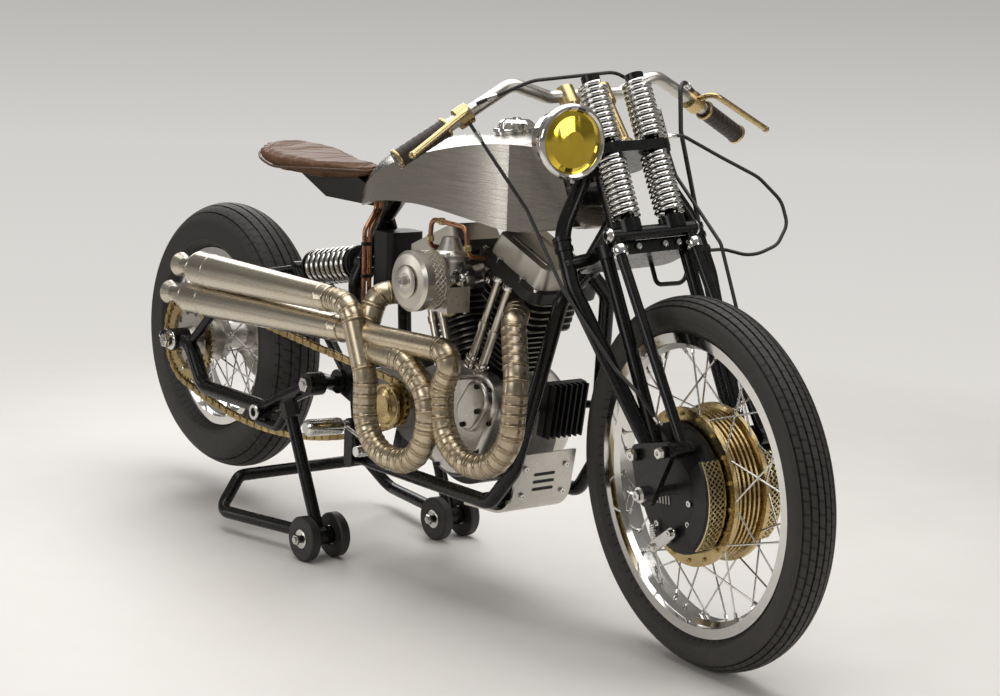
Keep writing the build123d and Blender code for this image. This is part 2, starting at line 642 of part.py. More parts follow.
def fork():
    """Springer fork with its yokes, legs, springs, rockers and axle."""
    top = Pos(34, 0, YOKE_TOP - YOKE_THICK) * extrude(RectangleRounded(150, 170, 30), amount=YOKE_THICK)
    low = Pos(12, 0, LOWER_YOKE_TOP - 26) * extrude(RectangleRounded(110, 2 * LEG_Y + 34, 26), amount=26)
    ear = rod((12, -LEG_Y - 10, LOWER_YOKE_TOP - 13), (12, -166, LOWER_YOKE_TOP - 20), 13)
    stem = Pos(0, 0, LOWER_YOKE_TOP - 26) * Cylinder(STEM_R, YOKE_TOP - LOWER_YOKE_TOP + 40, align=BOTTOM)
    rear_leg = tube([(38, -64, YOKE_TOP - 10), (8, -152, 878), (12, -157, 770), (48, -LEG_Y - 13, 450)],
        LEG_R, 110)
    front_leg = rod((46, -LEG_Y, LOWER_YOKE_TOP - 10), (54, -LEG_Y, 446), LEG_R - 2)
    eye = rod((PIVOT_N, -LEG_Y - 30, PIVOT_S), (PIVOT_N, -LEG_Y + 14, PIVOT_S), 19)
    side = [rear_leg, front_leg, eye, ear]
    legs = top + [low, stem] + side + [mirror(s, about=Plane.XZ) for s in side]
    for y in (-SPRING_Y, SPRING_Y):
        legs -= Pos(SPRING_N, y, 800) * Cylinder(ROD_R + SEAM, 400, align=BOTTOM)
    keep("fork_legs", legs, place=STEERED)
    post = rod((SPRING_N, -SPRING_Y, 846), (SPRING_N, -SPRING_Y, 1152), ROD_R)
    knob = rod((SPRING_N, -SPRING_Y, 1144), (SPRING_N, -SPRING_Y, 1158), 18)
    perch = rod((SPRING_N, -96, 846), (SPRING_N, 96, 846), 13)
    seat = rod((SPRING_N, -SPRING_Y, 846), (SPRING_N, -SPRING_Y, 870), 25)
    leg = rod((SPRING_N, -84, 846), (LINK_N, -LEG_Y, LINK_S), 10)
    tip = rod((LINK_N, -LEG_Y - 30, LINK_S), (LINK_N, -LEG_Y + 12, LINK_S), 15)
    half = [post, knob, seat, leg, tip]
    keep("spring_legs", perch + half + [mirror(s, about=Plane.XZ) for s in half], place=STEERED)
    coils = []
    for y in (-SPRING_Y, SPRING_Y):
        for low_s, high_s in ((870 + SEAM, YOKE_TOP - YOKE_THICK - SEAM), (YOKE_TOP + SEAM, 1144 - SEAM)):
            coils.append(spring(low_s, high_s, SPRING_N, y) - Pos(SPRING_N, y, 800) * Cylinder(ROD_R + SEAM,
                400, align=BOTTOM))
    keep("fork_springs", coils, place=STEERED)
    y = LEG_Y + 30 + SEAM
    plate = hull_plate([(PIVOT_N, PIVOT_S, 20), (LINK_N, LINK_S, 18), (AXLE_N, AXLE_S, 24)], -y - 12, -y)
    plate -= Pos(AXLE_N, -y, AXLE_S) * (Rot(90, 0, 0) * Cylinder(AXLE_R + SEAM, 60))
    bolts = []
    for n, s in ((PIVOT_N, PIVOT_S), (LINK_N, LINK_S)):
        bolts.append(rod((n, -y - 20, s), (n, -y - 12, s), 11))
    rocker = plate + bolts
    keep("rockers", both(rocker), place=STEERED)
    y += 12
    axle = turned((AXLE_N, -y - 12, AXLE_S), (AXLE_N, y + 12, AXLE_S), [
        (0, 15), (12 - SEAM, 15), (12 - SEAM, AXLE_R), (2 * y + 12 + SEAM, AXLE_R),
            (2 * y + 12 + SEAM, 15), (2 * y + 24, 15),
    ])
    keep("front_axle", axle, place=STEERED)


def brakes():
    """Backing plates with air scoops and cam levers, one on each side of the drum."""
    low = DRUM_HALF_W + RUNNING
    disc = turned((AXLE_N, -low, AXLE_S), (AXLE_N, -low - 24, AXLE_S), [(0, PLATE_R), (12, PLATE_R),
        (20, 104), (24, 60)])
    hood = turned((AXLE_N, -low, AXLE_S), (AXLE_N, -low - SCOOP_DEPTH, AXLE_S), [
        (0, PLATE_R + 5), (SCOOP_DEPTH - 6, PLATE_R + 5), (SCOOP_DEPTH, PLATE_R - 3),
    ])
    corners = [(AXLE_N + 220 * cos(radians(a)), AXLE_S + 220 * sin(radians(a))) for a in (-74, -30, 12)]
    sector = extrude(make_face(Plane.XZ * Polyline((AXLE_N, AXLE_S), *corners, close=True)), amount=100)
    scoop = (hood & sector) - rod((AXLE_N, -200, AXLE_S), (AXLE_N, 0, AXLE_S), 84)
    disc = disc + scoop
    disc -= rod((AXLE_N, -200, AXLE_S), (AXLE_N, 200, AXLE_S), AXLE_R + SEAM)
    lever = rod((18, -low - 26, 292), (-52, -low - 26, 280), 5)
    pin = rod((18, -low - 4, 292), (18, -low - 32, 292), 8)
    plate = disc + [lever, pin]
    keep("brake_plates", both(plate), place=STEERED)


def cockpit():
    """Handlebar, risers, grips, levers, headlight, splitter and cables."""
    half = [(-22, -84, 1160), (-8, -166, 1186), (-47, -279, 1134), (-97, -398, 1081)]
    points = [(n, -y, s) for n, y, s in reversed(half)] + half
    bar = tube(points, BAR_R, 40)
    tip = Vector(-97, -398, 1081)
    lead = (tip - Vector(-47, -279, 1134)).normalized()
    hole = rod(tip - lead * BAR_END_DEPTH, tip + lead * 5, BAR_END_R)
    keep("handlebar", bar - both(hole), place=STEERED)
    grip_path = Line((-47 - 50 * 0.18, -279 - 119 * 0.18, 1134 - 53 * 0.18), (-97, -398, 1081))
    inner = grip_path @ 0
    outer = grip_path @ 1
    sleeve = rod(inner, outer, 18) - rod(inner - lead * 5, outer + lead * 5, BAR_R + SEAM)
    keep("grips", both(sleeve), place=STEERED)
    riser = turned((18, -42, YOKE_TOP - 8), (-22, -42, 1163), [(0, 17), (38, 17), (44, 13), (122, 13),
        (130, 19), (170, 19)])
    riser -= Pos(0, 0, YOKE_TOP) * Box(400, 400, 60, align=(Align.CENTER, Align.CENTER, Align.MAX))
    riser -= tube(points, BAR_R + FIT, 40)
    keep("risers", both(riser), place=STEERED)
    clamp_c = Vector(-47 + 50 * 0.10, -279 + 119 * 0.10, 1134 + 53 * 0.10)
    along = grip_path % 0
    clamp = rod(clamp_c - along * 14, clamp_c + along * 14, 21)
    arm = tube([clamp_c, clamp_c + Vector(52, -14, -4), (-16, -408, 1062)], 6, 20)
    lever = clamp + arm
    lever -= tube(points, BAR_R + FIT, 40)
    keep("levers", both(lever), place=STEERED)
    aim = Vector(cos(radians(RAKE)), 0, -sin(radians(RAKE)))
    centre = Vector(117, -150, 1020)
    shell = turned(centre - aim * 96, centre, [(0, 14), (10, 31), (40, 53), (70, 62), (84, 64), (84, 67),
        (96, 67)])
    shell -= turned(centre - aim * 10, centre + aim * 1, [(0, 60), (11, 60)])
    keep("headlight_shell", shell + rod((60, -150, YOKE_TOP - 10), (60, -86, YOKE_TOP - 10), 8), place=STEERED)
    lens = turned(centre - aim * (10 - SEAM), centre + aim * 8, [(0, 60 - SEAM), (9, 60 - SEAM), (14, 48),
        (18, 20)])
    keep("headlight_lens", lens, place=STEERED)
    box = Pos(40, 100, 1056) * Box(34, 26, 76)
    foot = tube([(40, 85 + SEAM, YOKE_TOP - 10), (40, 100, YOKE_TOP - 10), (40, 100, 1024)], 5, 8)
    keep("cable_splitter", fillet(box.edges().filter_by(Axis.Z), 5) + foot, place=STEERED)
    throttle = [(-13, -250, 1152), (40, -150, 1172), (52, 30, 1176), (42, 100, 1140), (40, 100, 1094 + SEAM)]
    brake_right = [
        (-34, -262, 1122), (-22, -192, 940), (14, -180, 770),
        (58, -140, 600), (92, -128, 545), (78, -75, 455),
    ]
    brake_left = [
        (50, 106, 1018 - SEAM), (52, 108, 960), (116, 122, 800),
        (116, 118, 640), (96, 112, 540), (78, 75, 455),
    ]
    clutch = [
        (-13, 250, 1152), (30, 196, 1166), (14, 176, 1060), (-18, 184, 860),
        (-40, 130, 770), (-30, 60, 770), (-30, 60, 810 - SEAM),
    ]
    loop = [
        (50, 113 + SEAM, 1040), (52, 148, 1039), (64, 216, 985), (74, 285, 935), (84, 316, 880),
        (86, 314, 832), (82, 280, 794), (66, 226, 780), (11, 206, 815), (11, 171.2, 816),
    ]
    cables = [
        tube(throttle, 3.5, 60),
        tube(brake_right, 3.5, 30),
        tube(brake_left, 3.5, 30),
        tube(clutch, 4.5, [30, 40, 60, 26, 12]),
        tube(loop, 3.5, [30, 60, 60, 50, 40, 40, 40, 16]),
    ]
    grip_side = both(lever)
    keep("control_cables", [c - grip_side[0] - grip_side[1] for c in cables], place=STEERED)


def build():
    """Make every node and write its file."""
    front_wheel()
    rear_wheel()
    chain()
    engine()
    main_frame()
    swing_arm()
    shock()
    intake()
    exhaust()
    tank()
    saddle()
    fittings()
    paddock_stand()
    fork()
    brakes()
    cockpit()
    os.makedirs("parts", exist_ok=True)
    for name, solids in NODES.items():
        shape = solids[0] if len(solids) == 1 else Compound(list(solids))
        export_step(shape, f"parts/{name}.step")


build()
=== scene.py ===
"""Looks of a custom V-twin motorcycle parked on a paddock stand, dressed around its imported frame.

Everything is in metres in the frame's own axes: +X forward, +Y to the left of the machine, +Z up.
"""

import json
import logging
from dataclasses import dataclass, field
from enum import Enum
from math import acos, asin, atan2, copysign, cos, degrees, pi, radians, sin, sqrt, tan
from typing import Callable, Sequence

import bpy
import numpy as np
from mathutils import Matrix, Vector


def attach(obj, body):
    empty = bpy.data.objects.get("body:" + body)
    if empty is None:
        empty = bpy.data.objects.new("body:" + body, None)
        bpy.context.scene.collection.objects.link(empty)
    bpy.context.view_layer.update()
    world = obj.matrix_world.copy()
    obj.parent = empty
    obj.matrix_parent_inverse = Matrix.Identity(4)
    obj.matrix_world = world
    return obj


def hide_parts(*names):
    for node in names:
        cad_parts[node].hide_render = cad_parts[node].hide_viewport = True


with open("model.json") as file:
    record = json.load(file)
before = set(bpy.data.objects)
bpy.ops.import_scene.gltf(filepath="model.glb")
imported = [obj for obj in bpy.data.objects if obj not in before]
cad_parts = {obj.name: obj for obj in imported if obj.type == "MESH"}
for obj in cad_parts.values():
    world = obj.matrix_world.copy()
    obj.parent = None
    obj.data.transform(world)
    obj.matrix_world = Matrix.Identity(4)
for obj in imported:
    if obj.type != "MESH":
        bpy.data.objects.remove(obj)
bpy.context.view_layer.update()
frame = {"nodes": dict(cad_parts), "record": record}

LOG = logging.getLogger("motorcycle")
MM = 0.001
REAR_AXLE_STATION = 854.0
REAR_AXLE_HEIGHT = 386.0
CRANK_STATION = 1038.0
CRANK_HEIGHT = 358.0
BANK_LEAN = radians(22.5)

Colour = tuple[float, float, float]
Triple = tuple[float, float, float]
Pair = tuple[float, float]
Span = tuple[Triple, Triple]
Places = tuple[Triple, ...]
Profile = Sequence[Pair]
Stops = Sequence[tuple[float, Colour]]
Piece = bpy.types.Object
Socket = bpy.types.NodeSocket
Surface = tuple[Socket, Socket, Socket]

AHEAD = Vector((1, 0, 0))
LEFT = Vector((0, 1, 0))
RIGHT = Vector((0, -1, 0))
UP = Vector((0, 0, 1))


class Body(Enum):
    """Bodies that pieces ride on."""

    CHASSIS = "chassis"
    STEERING = "steering"
    FRONT_WHEEL = "front_wheel"
    REAR_WHEEL = "rear_wheel"
    STAND_RIGHT = "stand_right"
    STAND_LEFT = "stand_left"


# Places


def at(station: float, y: float, z: float) -> Vector:
    """Point at a station forward of the rear axle, from millimetres."""
    return Vector((station - REAR_AXLE_STATION, y, z)) * MM


def mirrored(place: Triple, side: float) -> Vector:
    """Point on the left for side 1, or its mirror image on the right for side -1."""
    station, y, z = place
    return at(station, side * y, z)


def stand_on(place: Vector, up: Vector, along: Vector | None = None) -> Matrix:
    """Frame at a place for a piece that was modelled upright.

    Args:
        place: Where the piece's foot goes.
        up: Direction its Z axis takes.
        along: Direction its X axis leans towards.

    Returns:
        The matrix that puts the piece there.
    """
    high = up.normalized()
    if along is None:
        along = AHEAD if abs(high.x) < 0.9 else LEFT
    ahead = (along - high * along.dot(high)).normalized()
    matrix = Matrix((ahead, high.cross(ahead), high)).transposed().to_4x4()
    matrix.translation = place
    return matrix


def bolt_circle(count: int, radius: float, start: float = 0.0) -> list[Pair]:
    """Spread points evenly round a circle, from a start angle in radians."""
    turns = [start + 2 * pi * index / count for index in range(count)]
    return [(radius * cos(turn), radius * sin(turn)) for turn in turns]


class ForkFrame:
    """The fork's own axes: n forward, y to the left, s up the steering axis."""

    def __init__(self) -> None:
        """Read the axes from the frame's joints."""
        joints = {joint["name"]: joint for joint in frame["record"]["behaviour"]["joints"]}
        self.up = Vector(joints["steer"]["axis"]).normalized()
        self.left = Vector(joints["front_spin"]["axis"]).normalized()
        self.ahead = self.left.cross(self.up)
        pivot = Vector(joints["steer"]["pos_m"])
        self.origin = pivot - self.up * (pivot.z / self.up.z)
        self.hub = Vector(joints["front_spin"]["pos_m"])

    def way(self, n: float, y: float, s: float) -> Vector:
        """Direction in the row frame from one in the fork's axes."""
        return self.ahead * n + self.left * y + self.up * s

    def point(self, n: float, y: float, s: float) -> Vector:
        """Point in the row frame from millimetres in the fork's axes."""
        return self.origin + self.way(n, y, s) * MM

    def mirrored(self, place: Triple, side: float) -> Vector:
        """Point on the left for side 1, or its mirror image on the right for side -1."""
        n, y, s = place
        return self.point(n, side * y, s)


FORK = ForkFrame()
REAR_HUB = at(0, 0, REAR_AXLE_HEIGHT)
CRANK = tuple(at(CRANK_STATION, 0, CRANK_HEIGHT))
FRONT_BANK = (sin(BANK_LEAN), 0.0, cos(BANK_LEAN))
REAR_BANK = (-sin(BANK_LEAN), 0.0, cos(BANK_LEAN))


class FilletPath:
    """A run of straight stretches joined by tangent arcs."""

    def __init__(self, points: Sequence[Vector], radii: Sequence[float]) -> None:
        """Lay the path through its corners.

        Args:
            points: Corner points.
            radii: Arc radius at each inner corner, in metres.
        """
        self.stretches: list[tuple[bool, list[Vector]]] = []
        start = points[0]
        for before, corner, after, radius in zip(points, points[1:], points[2:], radii):
            back = (before - corner).normalized()
            on = (after - corner).normalized()
            half = back.angle(on) / 2
            reach = radius / tan(half)
            enter = corner + back * reach
            centre = corner + (back + on).normalized() * (radius / sin(half))
            self.stretches.append((False, [start, enter]))
            sweep = pi - 2 * half
            arm = enter - centre
            side = -back
            count = max(2, int(sweep / radians(3)))
            turns = [sweep * index / count for index in range(count + 1)]
            arc = [centre + arm * cos(turn) + side * radius * sin(turn) for turn in turns]
            self.stretches.append((True, arc))
            start = arc[-1]
        self.stretches.append((False, [start, points[-1]]))

    def marks(self, pitch: float, longest: float) -> list[tuple[Vector, Vector]]:
        """Place marks along the arcs and the short straights.

        Args:
            pitch: Distance between marks.
            longest: Straight stretches longer than this get a mark at each end only.

        Returns:
            Places with the path's direction there.
        """
        found = []
        for bent, line in self.stretches:
            length = sum((b - a).length for a, b in zip(line, line[1:]))
            if length < 1e-6:
                continue
            count = max(1, round(length / pitch)) if bent or length < longest else 1
            for index in range(count):
                found.append(self.sample(line, length * index / count))
        return found

    @staticmethod
    def sample(line: Sequence[Vector], distance: float) -> tuple[Vector, Vector]:
        """Find the place and direction at a distance along a chain of points.

        Args:
            line: Points of the chain.
            distance: Distance from its first point.

        Returns:
            The place and the chain's direction there.
        """
        for a, b in zip(line, line[1:]):
            step = (b - a).length
            if distance <= step:
                return a.lerp(b, distance / step), (b - a).normalized()
            distance -= step
        return line[-1].copy(), (line[-1] - line[-2]).normalized()


# Shader groups


def paint_ramp(node: bpy.types.Node, stops: Stops) -> None:
    """Set the stops of a colour ramp.

    Args:
        node: Colour ramp node.
        stops: Places from 0 to 1, each with its colour.
    """
    elements = node.color_ramp.elements
    while len(elements) < len(stops):
        elements.new(0.5)
    for element, (place, colour) in zip(elements, stops):
        element.position = place
        element.color = (*colour, 1.0)


class TreeMaker:
    """Adds, sets and links the nodes of one shader tree."""

    def __init__(self, tree: bpy.types.NodeTree) -> None:
        """Work on a tree."""
        self.tree = tree

    def node(self, kind: str, **settings: object) -> bpy.types.Node:
        """Add a node.

        Args:
            kind: Type of node, without its prefix.
            **settings: Properties to set.

        Returns:
            The new node.
        """
        made = self.tree.nodes.new(f"ShaderNode{kind}")
        for key, value in settings.items():
            setattr(made, key, value)
        return made

    def feed(self, node: bpy.types.Node, socket: int | str, value: object) -> None:
        """Link a socket into a node's input, or set the input to a constant.

        Args:
            node: Node that is fed.
            socket: Number or name of the input.
            value: Socket or constant.
        """
        inlet = node.inputs[socket]
        if isinstance(value, Socket):
            self.tree.links.new(value, inlet)
        elif inlet.type == "RGBA" and len(value) == 3:
            inlet.default_value = (*value, 1.0)
        else:
            inlet.default_value = value

    def maths(self, operation: str, *values: object, clamp: bool = False) -> Socket:
        """Add a Math node.

        Args:
            operation: What it does.
            *values: Sockets or constants for its inputs.
            clamp: Whether the result stays between 0 and 1.

        Returns:
            The result.
        """
        made = self.node("Math", operation=operation, use_clamp=clamp)
        for index, value in enumerate(values):
            self.feed(made, index, value)
        return made.outputs[0]

    def mix(self, factor: object, first: object, second: object) -> Socket:
        """Blend two colours.

        Args:
            factor: Share of the second colour.
            first: Colour at 0.
            second: Colour at 1.

        Returns:
            The blended colour.
        """
        made = self.node("Mix", data_type="RGBA")
        for socket, value in ((0, factor), (6, first), (7, second)):
            self.feed(made, socket, value)
        return made.outputs[2]

    def spread(self, *values: object) -> Socket:
        """Map a value from one range to another, clamped.

        Args:
            *values: Value, low and high ends of its range, low and high ends of the result.

        Returns:
            The mapped value.
        """
        made = self.node("MapRange")
        for index, value in enumerate(values):
            self.feed(made, index, value)
        return made.outputs[0]


class GroupMaker(TreeMaker):
    """Builds one shader node group with named sockets."""

    def __init__(self, name: str) -> None:
        """Start an empty group.

        Args:
            name: Name of the group.
        """
        super().__init__(bpy.data.node_groups.new(name, "ShaderNodeTree"))
        self.inlet = self.tree.nodes.new("NodeGroupInput")
        self.outlet = self.tree.nodes.new("NodeGroupOutput")

    def takes(self, name: str, kind: str, value: float | tuple | None = None) -> Socket:
        """Add an input socket.

        Args:
            name: Socket name.
            kind: One of Float, Vector or Color.
            value: Default value.

        Returns:
            The socket as the inside of the group reads it.
        """
        item = self.tree.interface.new_socket(name, in_out="INPUT", socket_type=f"NodeSocket{kind}")
        if value is not None:
            item.default_value = value
        return self.inlet.outputs[name]

    def gives(self, name: str, kind: str, source: Socket) -> None:
        """Add an output socket fed by a source."""
        self.tree.interface.new_socket(name, in_out="OUTPUT", socket_type=f"NodeSocket{kind}")
        self.tree.links.new(source, self.outlet.inputs[name])

    def vector(self, operation: str, *values: object) -> Socket:
        """Add a Vector Math node.

        Args:
            operation: What it does.
            *values: Sockets or constants for its inputs.

        Returns:
            Its main result.
        """
        made = self.node("VectorMath", operation=operation)
        for index, value in enumerate(values):
            self.feed(made, index, value)
        scalar = operation in ("DOT_PRODUCT", "LENGTH", "DISTANCE")
        return made.outputs["Value" if scalar else "Vector"]

    def noise(self, where: Socket, scale: object, detail: float = 5.0, rough: float = 0.55) -> Socket:
        """Add a noise texture.

        Args:
            where: Coordinates.
            scale: How fine it is.
            detail: Number of finer layers.
            rough: Weight of the finer layers.

        Returns:
            Its value.
        """
        made = self.node("TexNoise")
        self.feed(made, "Vector", where)
        self.feed(made, "Scale", scale)
        made.inputs["Detail"].default_value = detail
        made.inputs["Roughness"].default_value = rough
        return made.outputs[0]


class Groups:
    """The shader groups that materials share, each built once."""

    _made: dict[str, bpy.types.NodeTree] = {}

    @classmethod
    def get(cls, name: str) -> bpy.types.NodeTree:
        """Find a group, building it on first use.

        Args:
            name: Name of the group.

        Returns:
            The group.
        """
        if name not in cls._made:
            maker = GroupMaker(name)
            getattr(cls, f"_{name}")(maker)
            cls._made[name] = maker.tree
        return cls._made[name]

    @staticmethod
    def _patina(g: GroupMaker) -> None:
        """Colour that drifts between two tones, with matching roughness and height.

        Args:
            g: Group under construction.
        """
        light = g.takes("Light", "Color", (0.8, 0.8, 0.8, 1))
        dark = g.takes("Dark", "Color", (0.4, 0.4, 0.4, 1))
        scale = g.takes("Scale", "Float", 60.0)
        stretch = g.takes("Stretch", "Vector", (1, 1, 1))
        smooth = g.takes("Smooth", "Float", 0.2)
        rough = g.takes("Rough", "Float", 0.4)
        where = g.node("TexCoord").outputs["Object"]
        fine = g.noise(g.vector("MULTIPLY", where, stretch), scale)
        blotch = g.noise(where, 9.0, 4.0, 0.6)
        both = g.maths("ADD", g.maths("MULTIPLY", fine, 0.55), g.maths("MULTIPLY", blotch, 0.45))
        mask = g.spread(both, 0.36, 0.64, 0.0, 1.0)
        g.gives("Color", "Color", g.mix(mask, dark, light))
        g.gives("Roughness", "Float", g.spread(fine, 0.3, 0.7, smooth, rough))
        g.gives("Height", "Float", fine)

    @staticmethod
    def _road_dust(g: GroupMaker) -> None:
        """Dust that settles in clouds, most of it low down.

        Args:
            g: Group under construction.
        """
        base = g.takes("Color", "Color", (0.5, 0.5, 0.5, 1))
        rough = g.takes("Roughness", "Float", 0.3)
        amount = g.takes("Amount", "Float", 0.3)
        tint = g.takes("Dust", "Color", (0.30, 0.26, 0.21, 1))
        where = g.node("TexCoord").outputs["Object"]
        split = g.node("SeparateXYZ")
        g.feed(split, 0, where)
        low = g.spread(split.outputs[2], 0.02, 0.55, 1.0, 0.12)
        cloud = g.spread(g.noise(where, 38.0, 7.0, 0.65), 0.42, 0.72, 0.0, 1.0)
        mask = g.maths("MULTIPLY", g.maths("MULTIPLY", low, cloud), amount, clamp=True)
        g.gives("Color", "Color", g.mix(mask, base, tint))
        g.gives("Roughness", "Float", g.maths("ADD", rough, g.maths("MULTIPLY", mask, 0.35), clamp=True))

    @staticmethod
    def _scratches(g: GroupMaker) -> None:
        """Fine straight scratches in two directions.

        Args:
            g: Group under construction.
        """
        scale = g.takes("Scale", "Float", 14.0)
        where = g.node("TexCoord").outputs["Object"]
        found = []
        for stretch in ((1.0, 1.0, 26.0), (22.0, 3.0, 1.5)):
            line = g.noise(g.vector("MULTIPLY", where, stretch), scale, 3.0, 0.5)
            found.append(g.spread(line, 0.66, 0.74, 0.0, 1.0))
        g.gives("Mask", "Float", g.maths("MAXIMUM", *found))

    @staticmethod
    def _heat_tint(g: GroupMaker) -> None:
        """Straw to bronze oxide colours along a hot pipe.

        Args:
            g: Group under construction.
        """
        where = g.node("TexCoord").outputs["Object"]
        split = g.node("SeparateXYZ")
        g.feed(split, 0, where)
        along = g.spread(split.outputs[0], -0.75, 0.42, 0.0, 1.0)
        cloud = g.noise(where, 16.0, 5.0, 0.6)
        turn = g.maths("ADD", along, g.maths("MULTIPLY", g.maths("SUBTRACT", cloud, 0.5), 0.9))
        ramp = g.node("ValToRGB")
        g.feed(ramp, 0, turn)
        stops = (
            (0.0, (0.56, 0.51, 0.42)), (0.42, (0.60, 0.535, 0.42)), (0.62, (0.60, 0.515, 0.375)),
            (0.80, (0.55, 0.455, 0.315)), (0.93, (0.47, 0.385, 0.265)), (1.0, (0.41, 0.33, 0.245)),
        )
        paint_ramp(ramp, stops)
        g.gives("Color", "Color", ramp.outputs[0])

    @staticmethod
    def _fin_edge(g: GroupMaker) -> None:
        """Mask of the machined rims of cooling fins around a leaning bank axis.

        Args:
            g: Group under construction.
        """
        foot = g.takes("Foot", "Vector", (0, 0, 0))
        radius = g.takes("Radius", "Float", 0.052)
        where = g.vector("SUBTRACT", g.node("TexCoord").outputs["Object"], foot)
        normal = g.node("NewGeometry").outputs["Normal"]
        split = g.node("SeparateXYZ")
        g.feed(split, 0, where)
        ahead = g.maths("GREATER_THAN", split.outputs[0], 0.0)
        blend = g.node("Mix", data_type="VECTOR")
        g.feed(blend, 0, ahead)
        g.feed(blend, 4, REAR_BANK)
        g.feed(blend, 5, FRONT_BANK)
        axis = blend.outputs[1]
        flat = g.maths("ABSOLUTE", g.vector("DOT_PRODUCT", normal, axis))
        rim = g.maths("LESS_THAN", flat, 0.55)
        shadow = g.vector("SCALE", axis)
        g.feed(shadow.node, "Scale", g.vector("DOT_PRODUCT", where, axis))
        reach = g.vector("LENGTH", g.vector("SUBTRACT", where, shadow))
        outside = g.maths("GREATER_THAN", reach, radius)
        g.gives("Mask", "Float", g.maths("MULTIPLY", rim, outside))

    @staticmethod
    def _bank_reach(g: GroupMaker) -> None:
        """Distance from the crank along the nearer bank's axis.

        Args:
            g: Group under construction.
        """
        foot = g.takes("Foot", "Vector", (0, 0, 0))
        where = g.vector("SUBTRACT", g.node("TexCoord").outputs["Object"], foot)
        banks = [g.vector("DOT_PRODUCT", where, axis) for axis in (FRONT_BANK, REAR_BANK)]
        g.gives("Reach", "Float", g.maths("MAXIMUM", *banks))

    @staticmethod
    def _tread(g: GroupMaker) -> None:
        """Relief that is 1 on a tyre's blocks and 0 in the cuts between them.

        Args:
            g: Group under construction.
        """
        hub = g.takes("Hub", "Vector", (0, 0, 0))
        ahead = g.takes("Ahead", "Vector", (1, 0, 0))
        up = g.takes("Up", "Vector", (0, 0, 1))
        axle = g.takes("Axle", "Vector", (0, 1, 0))
        count = g.takes("Count", "Float", 90.0)
        band = g.takes("Band", "Float", 0.03)
        inner = g.takes("Inner", "Float", 0.3)
        where = g.vector("SUBTRACT", g.node("TexCoord").outputs["Object"], hub)
        x = g.vector("DOT_PRODUCT", where, ahead)
        z = g.vector("DOT_PRODUCT", where, up)
        across = g.vector("DOT_PRODUCT", where, axle)
        turn = g.maths("MULTIPLY", g.maths("DIVIDE", g.maths("ARCTAN2", z, x), 2 * pi), count)
        row = g.maths("FLOOR", g.maths("DIVIDE", across, band))
        row_shift, slant, cut_share, rows_cut = 0.37, 14.0, 0.17, 2.6
        shifted = g.maths("ADD", turn, g.maths("MULTIPLY", row, row_shift))
        slanted = g.maths("ADD", shifted, g.maths("MULTIPLY", across, slant))
        cut = g.maths("LESS_THAN", g.maths("FRACT", slanted), cut_share)
        outside = g.maths("GREATER_THAN", g.maths("ABSOLUTE", across), inner)
        tread = g.maths("LESS_THAN", g.maths("ABSOLUTE", across), g.maths("MULTIPLY", band, rows_cut))
        mask = g.maths("MULTIPLY", g.maths("MULTIPLY", cut, outside), tread)
        g.gives("Height", "Float", g.maths("SUBTRACT", 1.0, mask))

    @staticmethod
    def _creases(g: GroupMaker) -> None:
        """Soft folds that run across a saddle.

        Args:
            g: Group under construction.
        """
        where = g.node("TexCoord").outputs["Object"]
        folds = g.noise(g.vector("MULTIPLY", where, (22.0, 6.0, 6.0)), 1.0, 2.0, 0.4)
        ridge = g.maths("ABSOLUTE", g.maths("SUBTRACT", folds, 0.5))
        g.gives("Height", "Float", g.spread(ridge, 0.0, 0.16, 0.0, 1.0))


# Finishes


class Recipe(TreeMaker):
    """A material under construction around one Principled shader."""

    def __init__(self, name: str) -> None:
        """Start a material.

        Args:
            name: Name of the material.
        """
        self.material = bpy.data.materials.new(name)
        self.material.use_nodes = True
        super().__init__(self.material.node_tree)
        self.shader = self.tree.nodes["Principled BSDF"]

    def group(self, name: str, **values: object) -> bpy.types.Node:
        """Place a shared group and set or link its inputs.

        Args:
            name: Group name.
            **values: Inputs by name, with underscores for spaces.

        Returns:
            The group node.
        """
        node = self.tree.nodes.new("ShaderNodeGroup")
        node.node_tree = Groups.get(name)
        for key, value in values.items():
            self.feed(node, key.replace("_", " "), value)
        return node

    def shade(self, **values: object) -> None:
        """Set or link inputs of the shader by name, with underscores for spaces."""
        for key, value in values.items():
            self.feed(self.shader, key.replace("_", " "), value)

    def colour(self) -> Socket:
        """Return what feeds the shader's base colour."""
        return self.shader.inputs["Base Color"].links[0].from_socket

    def bump(self, height: Socket, strength: float, distance: float) -> None:
        """Add relief to the shader's normal, on top of any relief already there.

        Args:
            height: Height from 0 to 1.
            strength: Strength of the relief.
            distance: Rise in metres.
        """
        node = self.node("Bump")
        node.inputs["Strength"].default_value = strength
        node.inputs["Distance"].default_value = distance
        self.feed(node, "Height", height)
        before = self.shader.inputs["Normal"]
        if before.is_linked:
            self.feed(node, "Normal", before.links[0].from_socket)
        self.feed(self.shader, "Normal", node.outputs[0])


COAT_ROUGHNESS = 0.06
GRAIN_STRENGTH = 0.5


